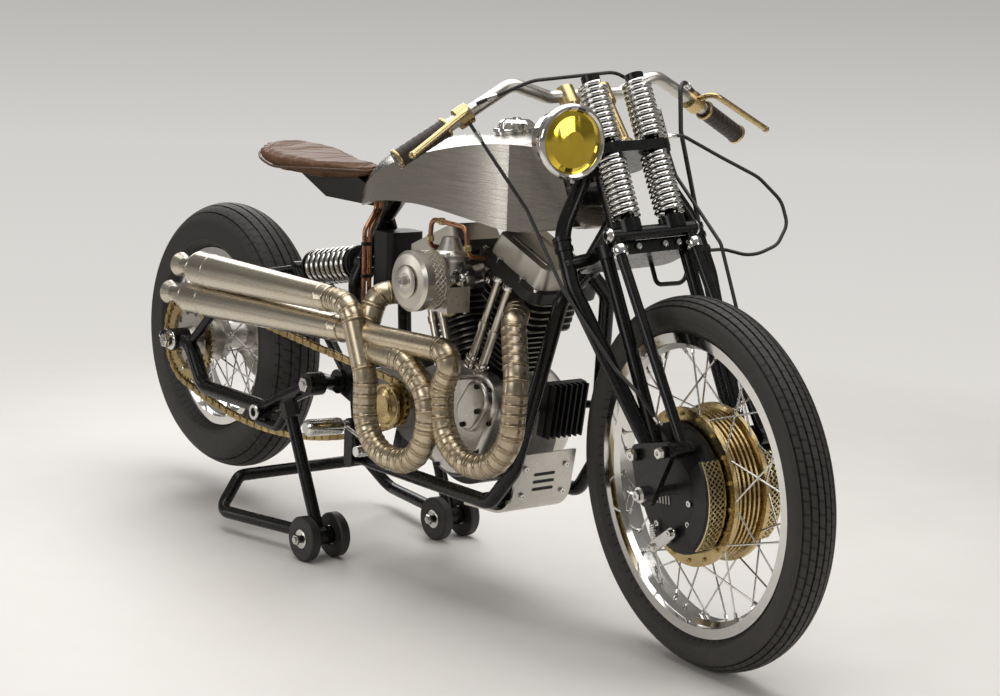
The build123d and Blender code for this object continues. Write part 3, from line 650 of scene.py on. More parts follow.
@dataclass(frozen=True)
class Finish:
    """A surface finish: two tones, gloss range, grain and dust."""

    name: str
    light: Colour
    dark: Colour
    metallic: float
    gloss: Pair
    grain: float = 60.0
    stretch: Triple = (1.0, 1.0, 1.0)
    relief: float = 0.0
    coat: float = 0.0
    dust: float = 0.0
    scratch: float = 0.0
    slot: str = "black_paint"
    glint: float = 0.5

    def material(self) -> bpy.types.Material:
        """Find this finish's material, building it on first use.

        Returns:
            The material.
        """
        found = bpy.data.materials.get(self.name)
        if found is not None:
            return found
        recipe = Recipe(self.name)
        colour, rough, height = self.surface(recipe)
        dust = recipe.group("road_dust", Color=colour, Roughness=rough, Amount=self.dust)
        recipe.shade(Base_Color=dust.outputs["Color"], Roughness=dust.outputs["Roughness"])
        recipe.shade(Metallic=self.metallic, Specular_IOR_Level=self.glint)
        if self.coat:
            recipe.shade(Coat_Weight=self.coat, Coat_Roughness=COAT_ROUGHNESS)
        if self.relief:
            recipe.bump(height, GRAIN_STRENGTH, self.relief)
        self.decorate(recipe)
        return recipe.material

    def surface(self, recipe: Recipe) -> Surface:
        """Build the base colour, roughness and height.

        Args:
            recipe: Material under construction.

        Returns:
            Colour, roughness and height sockets.
        """
        node = recipe.group(
            "patina", Light=self.light, Dark=self.dark, Scale=self.grain, Stretch=self.stretch,
            Smooth=self.gloss[0], Rough=self.gloss[1],
        )
        colour = node.outputs["Color"]
        if self.scratch:
            marks = recipe.group("scratches").outputs["Mask"]
            bright = tuple(min(1.0, value * 1.5 + 0.04) for value in self.light)
            colour = recipe.mix(recipe.maths("MULTIPLY", marks, self.scratch), colour, bright)
        return colour, node.outputs["Roughness"], node.outputs["Height"]

    def decorate(self, recipe: Recipe) -> None:
        """Add what a special finish needs on top."""


@dataclass(frozen=True)
class HeatedPipe(Finish):
    """Bare pipe with oxide colours."""

    tint_share: float = 0.72

    def surface(self, recipe: Recipe) -> Surface:
        """Mix the heat colours into the base tone.

        Args:
            recipe: Material under construction.

        Returns:
            Colour, roughness and height sockets.
        """
        colour, rough, height = super().surface(recipe)
        tint = recipe.group("heat_tint").outputs["Color"]
        return recipe.mix(self.tint_share, colour, tint), rough, height


@dataclass(frozen=True)
class FinnedIron(Finish):
    """Black castings whose fin rims are machined bright."""

    foot: Triple = (0.0, 0.0, 0.0)
    rim: Colour = (0.20, 0.19, 0.17)

    def surface(self, recipe: Recipe) -> Surface:
        """Brighten the rims of the fins and let only them be metal.

        Args:
            recipe: Material under construction.

        Returns:
            Colour, roughness and height sockets.
        """
        colour, rough, height = super().surface(recipe)
        rim = recipe.group("fin_edge", Foot=self.foot).outputs["Mask"]
        # This link outlasts the plain value that material() gives the same input.
        recipe.shade(Metallic=rim)
        return recipe.mix(rim, colour, self.rim), rough, height


@dataclass(frozen=True)
class MirrorLens(Finish):
    """Yellow glass over a mirrored bowl, with moulded flutes."""

    flutes: float = 22.0

    def decorate(self, recipe: Recipe) -> None:
        """Add upright flutes to the glass.

        Args:
            recipe: Material under construction.
        """
        wave = recipe.node("TexWave", wave_type="BANDS", bands_direction="Y")
        recipe.feed(wave, "Vector", recipe.node("TexCoord").outputs["Object"])
        recipe.feed(wave, "Scale", self.flutes)
        recipe.bump(wave.outputs["Fac"], 0.12, 0.001)


@dataclass(frozen=True)
class RockerCase(Finish):
    """Nickel covers on black lower plates, parted by distance along the bank."""

    foot: Triple = (0.0, 0.0, 0.0)
    parting: float = 0.3605
    lower: Colour = (0.012, 0.012, 0.012)

    def decorate(self, recipe: Recipe) -> None:
        """Blacken what lies nearer the crank than the parting line.

        Args:
            recipe: Material under construction.
        """
        reach = recipe.group("bank_reach", Foot=self.foot).outputs["Reach"]
        above = recipe.maths("GREATER_THAN", reach, self.parting)
        recipe.shade(Base_Color=recipe.mix(above, self.lower, recipe.colour()), Metallic=above)


@dataclass(frozen=True)
class TreadRubber(Finish):
    """Tyre rubber whose ribs are cut into small blocks round the wheel, with painted shade in the cuts."""

    hub: Triple = (0.0, 0.0, 0.0)
    ahead: Triple = (1.0, 0.0, 0.0)
    up: Triple = (0.0, 0.0, 1.0)
    axle: Triple = (0.0, 1.0, 0.0)
    count: float = 90.0
    band: float = 0.03
    inner: float = 0.3
    depth: float = 0.004
    # Near-black colour painted into the cuts as shade.
    painted_cut_shade: Colour = (0.004, 0.004, 0.004)

    def decorate(self, recipe: Recipe) -> None:
        """Cut the tread's cross cuts as relief and paint shade into them.

        Args:
            recipe: Material under construction.
        """
        cuts = recipe.group(
            "tread", Hub=self.hub, Ahead=self.ahead, Up=self.up, Axle=self.axle,
            Count=self.count, Band=self.band, Inner=self.inner,
        ).outputs["Height"]
        recipe.bump(cuts, 1.0, self.depth)
        # Painted shade: the cuts between the blocks are coloured near black.
        recipe.shade(Base_Color=recipe.mix(cuts, self.painted_cut_shade, recipe.colour()))


@dataclass(frozen=True)
class CreasedLeather(Finish):
    """Leather with soft creases across it."""

    def decorate(self, recipe: Recipe) -> None:
        """Add long soft creases to the grain."""
        creases = recipe.group("creases").outputs["Height"]
        recipe.bump(creases, 0.55, 0.006)


BLACK = Finish(
    "gloss_black", (0.006, 0.006, 0.006), (0.003, 0.003, 0.003), 0.0, (0.20, 0.32), 90.0,
    coat=0.06, dust=0.02, glint=0.28,
)
SATIN_BLACK = Finish(
    "satin_black", (0.010, 0.010, 0.010), (0.006, 0.006, 0.006), 0.0, (0.34, 0.48), 160.0,
    relief=0.0001, dust=0.02, glint=0.35,
)
STEEL = Finish(
    "brushed_steel", (0.36, 0.338, 0.30), (0.31, 0.29, 0.255), 1.0, (0.22, 0.30), 60.0, (0.10, 1.0, 7.0),
    relief=0.00003, coat=0.15, scratch=0.06, slot="bare_steel",
)
NICKEL = Finish(
    "satin_nickel", (0.64, 0.60, 0.53), (0.59, 0.55, 0.48), 1.0, (0.27, 0.33), 50.0,
    dust=0.02, scratch=0.03, slot="nickel",
)
CHROME = Finish(
    "polished_chrome", (0.74, 0.73, 0.70), (0.66, 0.65, 0.62), 1.0, (0.05, 0.13), 70.0,
    dust=0.02, scratch=0.03, slot="chrome",
)
ALUMINIUM = Finish(
    "satin_aluminium", (0.60, 0.575, 0.53), (0.52, 0.495, 0.45), 1.0, (0.26, 0.38), 110.0,
    relief=0.00003, dust=0.03, scratch=0.06, slot="alu",
)
CAST = Finish(
    "sand_cast", (0.30, 0.28, 0.26), (0.16, 0.15, 0.14), 1.0, (0.38, 0.56), 420.0,
    relief=0.0003, dust=0.10, slot="alu",
)
BRASS = Finish(
    "satin_brass", (0.60, 0.465, 0.235), (0.47, 0.355, 0.165), 1.0, (0.20, 0.34), 80.0,
    dust=0.03, scratch=0.08, slot="brass",
)
MESH_BRASS = Finish(
    "mesh_brass", (0.80, 0.66, 0.38), (0.68, 0.54, 0.29), 1.0, (0.24, 0.34), 120.0, slot="brass",
)
CHAIN_GOLD = Finish(
    "chain_gold", (0.58, 0.44, 0.20), (0.30, 0.22, 0.10), 1.0, (0.26, 0.42), 160.0, dust=0.10, slot="brass",
)
COPPER = Finish(
    "bare_copper", (0.50, 0.25, 0.14), (0.28, 0.13, 0.075), 1.0, (0.22, 0.40), 60.0, dust=0.04, slot="copper",
)
PIPE = HeatedPipe(
    "heated_pipe", (0.66, 0.58, 0.44), (0.57, 0.49, 0.365), 1.0, (0.25, 0.35), 90.0,
    scratch=0.05, slot="titanium",
)
BEAD = HeatedPipe(
    "weld_bead", (0.58, 0.50, 0.36), (0.40, 0.33, 0.23), 1.0, (0.16, 0.30), 200.0, slot="titanium",
)
HALO = Finish(
    "weld_halo", (0.42, 0.335, 0.21), (0.30, 0.23, 0.145), 1.0, (0.28, 0.40), 160.0, slot="titanium",
)
MUFFLER = HeatedPipe(
    "brushed_muffler", (0.60, 0.55, 0.465), (0.53, 0.48, 0.40), 1.0, (0.24, 0.30), 30.0, (0.2, 6.0, 6.0),
    scratch=0.04, slot="titanium",
)
PALE_MESH = Finish(
    "pale_mesh", (0.72, 0.68, 0.58), (0.50, 0.46, 0.38), 0.6, (0.34, 0.50), 120.0, dust=0.04, slot="nickel",
)
GAUZE = Finish(
    "filter_gauze", (0.36, 0.33, 0.27), (0.24, 0.22, 0.175), 0.2, (0.50, 0.66), 220.0,
    relief=0.0002, slot="nickel",
)
IRON = FinnedIron(
    "finned_iron", (0.026, 0.025, 0.024), (0.012, 0.012, 0.012), 0.0, (0.36, 0.54), 300.0,
    dust=0.06, foot=CRANK, slot="iron",
)
ROCKER = RockerCase(
    "rocker_case", (0.72, 0.675, 0.59), (0.68, 0.635, 0.55), 1.0, (0.42, 0.48), 40.0,
    foot=CRANK, slot="nickel",
)
FRONT_TREAD = TreadRubber(
    "front_tread", (0.036, 0.033, 0.029), (0.025, 0.023, 0.020), 0.0, (0.54, 0.70), 240.0,
    relief=0.0002, dust=0.06, slot="tyre", hub=tuple(FORK.hub), ahead=tuple(FORK.ahead), up=tuple(FORK.up),
    axle=tuple(FORK.left), count=92.0, band=0.0137, inner=0.0,
)
REAR_TREAD = TreadRubber(
    "rear_tread", (0.032, 0.029, 0.026), (0.022, 0.020, 0.018), 0.0, (0.54, 0.70), 240.0,
    relief=0.0002, dust=0.06, slot="tyre", hub=tuple(REAR_HUB), count=72.0, band=0.024, inner=0.012,
)
RUBBER = Finish(
    "dark_rubber", (0.020, 0.018, 0.017), (0.010, 0.009, 0.009), 0.0, (0.40, 0.56), 200.0,
    relief=0.0002, dust=0.06, slot="rubber",
)
GRIP = Finish(
    "brown_grip", (0.042, 0.027, 0.020), (0.020, 0.014, 0.011), 0.0, (0.34, 0.50), 200.0,
    relief=0.0003, slot="rubber",
)
LEATHER = CreasedLeather(
    "brown_leather", (0.150, 0.074, 0.036), (0.085, 0.040, 0.020), 0.0, (0.46, 0.60), 420.0,
    relief=0.0004, slot="leather", glint=0.25,
)
PIPING = Finish(
    "dark_leather", (0.115, 0.056, 0.028), (0.060, 0.028, 0.015), 0.0, (0.36, 0.52), 420.0,
    relief=0.0003, slot="leather",
)
LENS = MirrorLens(
    "yellow_lens", (0.86, 0.64, 0.04), (0.78, 0.54, 0.03), 1.0, (0.05, 0.14), 60.0,
    coat=1.0, slot="lens",
)

FINISH_NODES: dict[Finish, tuple[str, ...]] = {
    BLACK: ("main_frame", "swing_arm", "paddock_stand", "fork_legs", "spring_legs", "rockers"),
    CHROME: (
        "rear_axle", "shock", "filler_cap", "foot_pegs", "fork_springs", "front_axle", "headlight_shell",
        "front_rim", "front_spokes", "rear_rim", "rear_spokes",
    ),
    CAST: ("crankcase",),
    ALUMINIUM: (
        "cam_cover", "primary_cover", "carburettor", "skid_plate", "handlebar", "cable_splitter", "rear_hub",
    ),
    IRON: ("cylinders",),
    ROCKER: ("rocker_boxes",),
    NICKEL: ("pushrod_tubes", "air_filter"),
    PIPE: ("exhaust_pipes",),
    MUFFLER: ("mufflers",),
    STEEL: ("fuel_tank",),
    LEATHER: ("seat",),
    SATIN_BLACK: ("seat_support", "oil_tank", "regulator", "brake_plates"),
    COPPER: ("copper_lines",),
    BRASS: ("sprocket_cover", "drive_chain", "risers", "levers", "brake_drum", "rear_sprocket"),
    GRIP: ("grips",),
    LENS: ("headlight_lens",),
    RUBBER: ("control_cables", "stand_wheels_right", "stand_wheels_left"),
    FRONT_TREAD: ("front_tyre",),
    REAR_TREAD: ("rear_tyre",),
}


def dress_nodes() -> None:
    """Give every node of the frame its finish."""
    for finish, names in FINISH_NODES.items():
        for name in names:
            mesh = frame["nodes"][name].data
            mesh.materials.clear()
            mesh.materials.append(finish.material())
        LOG.info("%s on %d nodes", finish.name, len(names))


# Modelling bench


COIL_STEPS = 24


class Bench:
    """Modelling steps, each a run of operators on the piece in hand, with sizes in millimetres."""

    @staticmethod
    def clear() -> None:
        """Leave edit mode and deselect everything."""
        if bpy.context.object is not None and bpy.context.object.mode != "OBJECT":
            bpy.ops.object.mode_set(mode="OBJECT")
        bpy.ops.object.select_all(action="DESELECT")

    @staticmethod
    def edit() -> None:
        """Enter edit mode with all of the piece selected."""
        bpy.ops.object.mode_set(mode="EDIT")
        bpy.ops.mesh.select_mode(type="VERT")
        bpy.ops.mesh.select_all(action="SELECT")

    @staticmethod
    def done() -> Piece:
        """Leave edit mode and return the piece."""
        bpy.ops.object.mode_set(mode="OBJECT")
        return bpy.context.object

    @classmethod
    def take(cls, *pieces: Piece) -> None:
        """Select only these pieces, the first one active.

        Args:
            *pieces: Pieces to select.
        """
        cls.clear()
        for piece in pieces:
            piece.select_set(True)
        bpy.context.view_layer.objects.active = pieces[0]

    @staticmethod
    def modify(piece: Piece, kind: str, **settings: object) -> None:
        """Put a modifier on the active piece and apply it.

        Args:
            piece: Active piece.
            kind: Type of modifier.
            **settings: Its settings.
        """
        modifier = piece.modifiers.new(kind.lower(), kind)
        for key, value in settings.items():
            setattr(modifier, key, value)
        bpy.ops.object.modifier_apply(modifier=modifier.name)

    @staticmethod
    def pick(test: Callable[[bpy.types.MeshPolygon], bool]) -> None:
        """In edit mode, select just the faces that pass a test.

        Args:
            test: Says whether a face is wanted.
        """
        bpy.ops.mesh.select_mode(type="FACE")
        bpy.ops.mesh.select_all(action="DESELECT")
        bpy.ops.object.mode_set(mode="OBJECT")
        for face in bpy.context.object.data.polygons:
            face.select = test(face)
        bpy.ops.object.mode_set(mode="EDIT")

    @classmethod
    def trace(cls, points: Sequence[Vector]) -> None:
        """Draw a chain of edges and stay in edit mode.

        Args:
            points: Points in metres.
        """
        cls.clear()
        bpy.ops.mesh.primitive_plane_add(size=0.002, location=(0, 0, 0))
        cls.edit()
        bpy.ops.mesh.merge(type="CENTER")
        bpy.ops.transform.translate(value=points[0])
        for before, after in zip(points, points[1:]):
            bpy.ops.mesh.extrude_vertices_move(TRANSFORM_OT_translate={"value": after - before})
        bpy.ops.mesh.select_all(action="SELECT")

    @classmethod
    def lathe(cls, profile: Profile, steps: int = 40) -> Piece:
        """Spin a profile about Z.

        Args:
            profile: Radius and height pairs. A ring repeats its first pair at the end.
            steps: Number of steps round.

        Returns:
            The turned piece.
        """
        cls.trace([Vector((radius, 0, height)) * MM for radius, height in profile])
        bpy.ops.mesh.remove_doubles(threshold=1e-6)
        bpy.ops.mesh.select_all(action="SELECT")
        bpy.ops.mesh.spin(steps=steps, angle=2 * pi, center=(0, 0, 0), axis=(0, 0, 1))
        bpy.ops.mesh.select_all(action="SELECT")
        bpy.ops.mesh.remove_doubles(threshold=1e-6)
        bpy.ops.mesh.normals_make_consistent()
        return cls.done()

    @classmethod
    def tube(cls, points: Sequence[Vector], radius: float, rounding: int = 1) -> Piece:
        """Run a round wire through points.

        Args:
            points: Points in metres.
            radius: Wire radius.
            rounding: Curve bevel resolution.

        Returns:
            The wire as a mesh.
        """
        cls.trace(points)
        wire = cls.done()
        bpy.ops.object.convert(target="CURVE")
        wire = bpy.context.object
        wire.data.bevel_depth = radius * MM
        wire.data.bevel_resolution = rounding
        wire.data.use_fill_caps = True
        bpy.ops.object.convert(target="MESH")
        return bpy.context.object

    @classmethod
    def coil(cls, radius: float, wire: float, pitch: float, turns: int, sides: int = 8) -> Piece:
        """Wind a round wire about Z.

        Args:
            radius: Radius of the wire's centre line.
            wire: Wire radius.
            pitch: Rise of one turn.
            turns: Number of turns.
            sides: Sides of the wire.

        Returns:
            The spring, starting at height 0.
        """
        cls.clear()
        bpy.ops.mesh.primitive_circle_add(
            vertices=sides, radius=wire * MM, fill_type="NGON",
            location=(radius * MM, 0, 0), rotation=(pi / 2, 0, 0),
        )
        bpy.ops.object.transform_apply()
        piece = bpy.context.object
        cls.edit()
        bpy.ops.mesh.delete(type="ONLY_FACE")
        cls.done()
        cls.modify(
            piece, "SCREW", axis="Z", angle=2 * pi, screw_offset=pitch * MM, iterations=turns,
            steps=COIL_STEPS, render_steps=COIL_STEPS, use_merge_vertices=True,
        )
        cls.edit()
        bpy.ops.mesh.normals_make_consistent()
        return cls.done()

    @classmethod
    def plate(cls, outline: Profile, thick: float, bevel: float = 0.0) -> Piece:
        """Cut a flat plate and soften its edges.

        Args:
            outline: Corners on Z 0.
            thick: Thickness upwards.
            bevel: Width of the softened edge.

        Returns:
            The plate.
        """
        cls.trace([Vector((x, y, 0)) * MM for x, y in outline])
        bpy.ops.mesh.edge_face_add()
        bpy.ops.mesh.extrude_region_move(TRANSFORM_OT_translate={"value": (0, 0, thick * MM)})
        bpy.ops.mesh.select_all(action="SELECT")
        bpy.ops.mesh.normals_make_consistent()
        if bevel:
            cls.pick(lambda face: abs(face.normal.z) > 0.9)
            bpy.ops.mesh.bevel(offset=bevel * MM, segments=1, affect="EDGES")
        return cls.done()

    @classmethod
    def lozenge(cls, length: float, radius: float, thick: float, bevel: float = 0.0, steps: int = 6) -> Piece:
        """Cut a plate with round ends, centred on X 0 and X length.

        Args:
            length: Distance between the ends' centres.
            radius: Radius of the ends.
            thick: Thickness upwards.
            bevel: Width of the softened edge.
            steps: Number of steps round an end.

        Returns:
            The plate.
        """
        outline = []
        for centre, start in ((length, -90), (0, 90)):
            for index in range(steps + 1):
                turn = radians(start + 180 * index / steps)
                outline.append((centre + radius * cos(turn), radius * sin(turn)))
        return cls.plate(outline, thick, bevel)

    @classmethod
    def block(cls, size: Triple, bevel: float) -> Piece:
        """Make a block with softened edges.

        Args:
            size: Length, width and height.
            bevel: Width of the softened edges.

        Returns:
            The block, centred on the origin.
        """
        cls.clear()
        bpy.ops.mesh.primitive_cube_add(size=1.0, scale=tuple(value * MM for value in size))
        bpy.ops.object.transform_apply()
        cls.edit()
        bpy.ops.mesh.bevel(offset=bevel * MM, segments=2, affect="EDGES")
        return cls.done()

    @classmethod
    def cap_screw(cls, radius: float, height: float, sides: int = 12) -> Piece:
        """Make a screw head with a sunk socket.

        Args:
            radius: Radius of the head.
            height: Height of the head.
            sides: 6 for a hexagon head, more for a round one.

        Returns:
            The head, standing on Z 0.
        """
        cls.clear()
        bpy.ops.mesh.primitive_cylinder_add(
            vertices=sides, radius=radius * MM, depth=height * MM, location=(0, 0, height * MM / 2),
        )
        bpy.ops.object.transform_apply()
        cls.edit()
        cls.pick(lambda face: face.normal.z > 0.9)
        bpy.ops.mesh.inset(thickness=radius * 0.14 * MM, depth=radius * 0.12 * MM)
        bpy.ops.mesh.inset(thickness=radius * 0.32 * MM)
        bpy.ops.mesh.extrude_region_move(TRANSFORM_OT_translate={"value": (0, 0, -height * 0.4 * MM)})
        return cls.done()

    @classmethod
    def join(cls, pieces: Sequence[Piece]) -> Piece:
        """Join pieces into one with its place in its mesh.

        Args:
            pieces: Pieces to join.

        Returns:
            The joined piece.
        """
        cls.take(*pieces)
        if len(pieces) > 1:
            bpy.ops.object.join()
        bpy.ops.object.transform_apply()
        return bpy.context.object

    @classmethod
    def stamp(cls, pattern: Piece, places: Sequence[Matrix]) -> Piece:
        """Copy a pattern to each place, join the copies and drop the pattern.

        Args:
            pattern: Modelled pattern.
            places: Where the copies go.

        Returns:
            The joined copies.
        """
        copies = []
        for place in places:
            copy = pattern.copy()
            copy.data = pattern.data.copy()
            bpy.context.collection.objects.link(copy)
            copy.matrix_world = place
            copies.append(copy)
        bpy.data.objects.remove(pattern)
        return cls.join(copies)

    @classmethod
    def move(cls, piece: Piece, place: Matrix) -> Piece:
        """Put one piece in its place, with the place in its mesh."""
        piece.matrix_world = place
        return cls.join([piece])

    @classmethod
    def weave(
        cls, place: Callable[[float, float], Vector], rows: int, columns: int, wire: float,
    ) -> list[Piece]:
        """Bend zigzag wires that meet as a diamond mesh.

        Args:
            place: Gives the point at two shares, along the band and across it.
            rows: Number of wires.
            columns: Number of bends in a wire.
            wire: Wire radius.

        Returns:
            The wires.
        """
        wires = []
        for row in range(rows):
            line = []
            for column in range(columns + 1):
                line.append(place(column / columns, (row + (row + column) % 2) / rows))
            wires.append(cls.tube(line, wire, 0))
        return wires

    @classmethod
    def fit(
        cls, pattern: Piece, places: Sequence[Matrix], name: str, finish: Finish, body: Body = Body.CHASSIS,
        smooth: float = 35.0,
    ) -> None:
        """Stamp a pattern at its places and hand the copies over as one piece."""
        cls.hand_over(cls.stamp(pattern, places), name, finish, body, smooth)

    @classmethod
    def hand_over(
        cls, piece: Piece, name: str, finish: Finish, body: Body = Body.CHASSIS, smooth: float = 35.0,
        replaces: Sequence[str] = (),
    ) -> None:
        """Finish a piece and give it to its body.

        Args:
            piece: Modelled piece.
            name: Name it keeps.
            finish: Surface finish.
            body: Body it rides on.
            smooth: Angle up to which edges are shaded smooth.
            replaces: Nodes that it stands for.
        """
        piece.name = name
        piece.data.name = name
        cls.take(piece)
        bpy.ops.object.transform_apply()
        piece.data.materials.clear()
        piece.data.materials.append(finish.material())
        bpy.ops.object.shade_smooth_by_angle(angle=radians(smooth))
        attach(piece, body.value)
        if replaces:
            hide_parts(*replaces)
        LOG.info("%s: %d faces", name, len(piece.data.polygons))


# Wheels


@dataclass
class Tyre:
    """A tyre with grooves cut round its tread, sizes in millimetres and degrees of crown."""

    node: str
    body: Body
    place: Matrix
    finish: Finish
    radius: float
    width: float
    flange: float
    seat_half: float
    grooves: Profile
    depth: float = 4.0
    floor_share: float = 0.7
    crown_share: float = 0.62
    rows: int = 36
    row_clear: float = 0.8
    seat_drop: float = 13.0
    lip_rise: float = 14.5
    steps: int = 144

    def tread_rows(self, edge: float) -> list[Pair]:
        """Lay rows over the crown, with the lips and the floor of each groove.

        Args:
            edge: Angle at the crown's edge.

        Returns:
            Angles with the depth that is cut there.
        """
        turns = [-edge + 2 * edge * index / self.rows for index in range(self.rows + 1)]
        rows = []
        for turn in turns:
            if all(abs(turn - centre) > half + self.row_clear for centre, half in self.grooves):
                rows.append((turn, 0.0))
        for centre, half in self.grooves:
            floor = half * self.floor_share
            rows += [(centre - half, 0.0), (centre - floor, self.depth)]
            rows += [(centre + floor, self.depth), (centre + half, 0.0)]
        return sorted(rows)

    def profile(self) -> list[Pair]:
        """Draw the closed section.

        Returns:
            Radius and offset pairs.
        """
        half = self.width / 2
        crown = self.crown_share * half
        bend = (half ** 2 + crown ** 2) / (2 * crown)
        line = []
        for turn, drop in self.tread_rows(degrees(asin(half / bend))):
            angle = radians(turn)
            reach = bend - drop
            line.append((self.radius - bend + reach * cos(angle), reach * sin(angle)))
        shoulder = self.radius - crown
        seat = self.flange - self.seat_drop
        lip = seat + self.lip_rise
        # Radius and share of half the width, from the shoulder down the side wall.
        wall = [
            (shoulder - 8, 1.0), (shoulder - 10, 1.012), (lip + 22, 0.985), (lip + 20, 1.0), (lip + 12, 0.97),
        ]
        line += [(radius, half * share) for radius, share in wall]
        line += [(lip, self.seat_half), (seat, self.seat_half)]
        line += [(seat, -self.seat_half), (lip, -self.seat_half)]
        line += [(radius, -half * share) for radius, share in reversed(wall)]
        line.append(line[0])
        return line

    def build(self) -> None:
        """Turn the tyre and put it on its wheel."""
        ring = Bench.move(Bench.lathe(self.profile(), self.steps), self.place)
        Bench.hand_over(ring, f"{self.node}_tread", self.finish, self.body, 30.0, (self.node,))


@dataclass
class WheelTrim:
    """Spoke nipples and screws of one wheel, in millimetres about its hub."""

    name: str
    body: Body
    hub: Vector
    ahead: Vector
    left: Vector
    up: Vector
    hub_r: float
    hub_y: float
    rim_r: float
    rim_y: float
    cross: float
    wire: float
    count: int = 40

    def local(self, x: float, y: float, z: float) -> Vector:
        """Point in the row frame from millimetres about the hub."""
        return self.hub + (self.ahead * x + self.left * y + self.up * z) * MM

    def nipples(self) -> None:
        """Set a nipple on the outer end of every spoke."""
        places = []
        for index in range(self.count):
            side = 1 if index % 2 else -1
            sense = 1 if index // 2 % 2 else -1
            turn = 2 * pi * index / self.count
            start = turn + radians(sense * self.cross)
            flange = side * self.hub_y + sense * self.wire * 1.5
            inner = self.local(self.hub_r * cos(start), flange, self.hub_r * sin(start))
            outer = self.local(self.rim_r * cos(turn), side * self.rim_y, self.rim_r * sin(turn))
            places.append(stand_on(outer, inner - outer))
        sleeve = Bench.lathe([(0, -2), (5.2, -2), (5.2, 1), (3.6, 2), (3.2, 13), (2.0, 15)], 8)
        Bench.fit(sleeve, places, f"{self.name}_nipples", CHROME, self.body)

    def screws(
        self, label: str, finish: Finish, radius: float, offset: float, count: int, size: float,
    ) -> None:
        """Set a ring of screws that face away from the hub.

        Args:
            label: End of the piece's name.
            finish: Surface finish.
            radius: Radius of the ring.
            offset: Offset of the face along the axle, positive to the left.
            count: Number of screws.
            size: Radius of a head.
        """
        out = self.left * copysign(1, offset)
        ring = bolt_circle(count, radius, pi / count)
        places = [stand_on(self.local(x, offset, z), out, self.up) for x, z in ring]
        head = Bench.cap_screw(size, size * 0.9, 6)
        Bench.fit(head, places, f"{self.name}_{label}", finish, self.body)


def build_wheels() -> None:
    """Dress both wheels."""
    Tyre(
        "front_tyre", Body.FRONT_WHEEL, stand_on(FORK.hub, FORK.left, FORK.ahead), FRONT_TREAD,
        radius=350.0, width=88.0, flange=284.0, seat_half=27.0,
        grooves=[(turn, 2.2) for turn in range(-48, 49, 16)],
    ).build()
    Tyre(
        "rear_tyre", Body.REAR_WHEEL, stand_on(REAR_HUB, LEFT, AHEAD), REAR_TREAD,
        radius=324.0, width=142.0, flange=217.0, seat_half=44.0,
        grooves=[(-44, 1.5), (-24, 1.8), (-8, 1.8), (8, 1.8), (24, 1.8), (44, 1.5)],
    ).build()
    trim = WheelTrim(
        "front", Body.FRONT_WHEEL, FORK.hub, FORK.ahead, FORK.left, FORK.up,
        hub_r=145, hub_y=35, rim_r=256, rim_y=4, cross=24, wire=1.8,
    )
    trim.nipples()
    trim.screws("drum_screws_right", BRASS, radius=137, offset=-40, count=18, size=4.2)
    trim.screws("drum_screws_left", BRASS, radius=137, offset=40, count=18, size=4.2)
    trim = WheelTrim(
        "rear", Body.REAR_WHEEL, REAR_HUB, AHEAD, LEFT, UP,
        hub_r=50, hub_y=42, rim_r=187, rim_y=6, cross=40, wire=2.0,
    )
    trim.nipples()
    trim.screws("sprocket_bolts", CHROME, radius=82, offset=-121, count=5, size=5.5)
    trim.screws("disc_bolts", CHROME, radius=108, offset=89, count=8, size=5.0)


# Fork and suspension


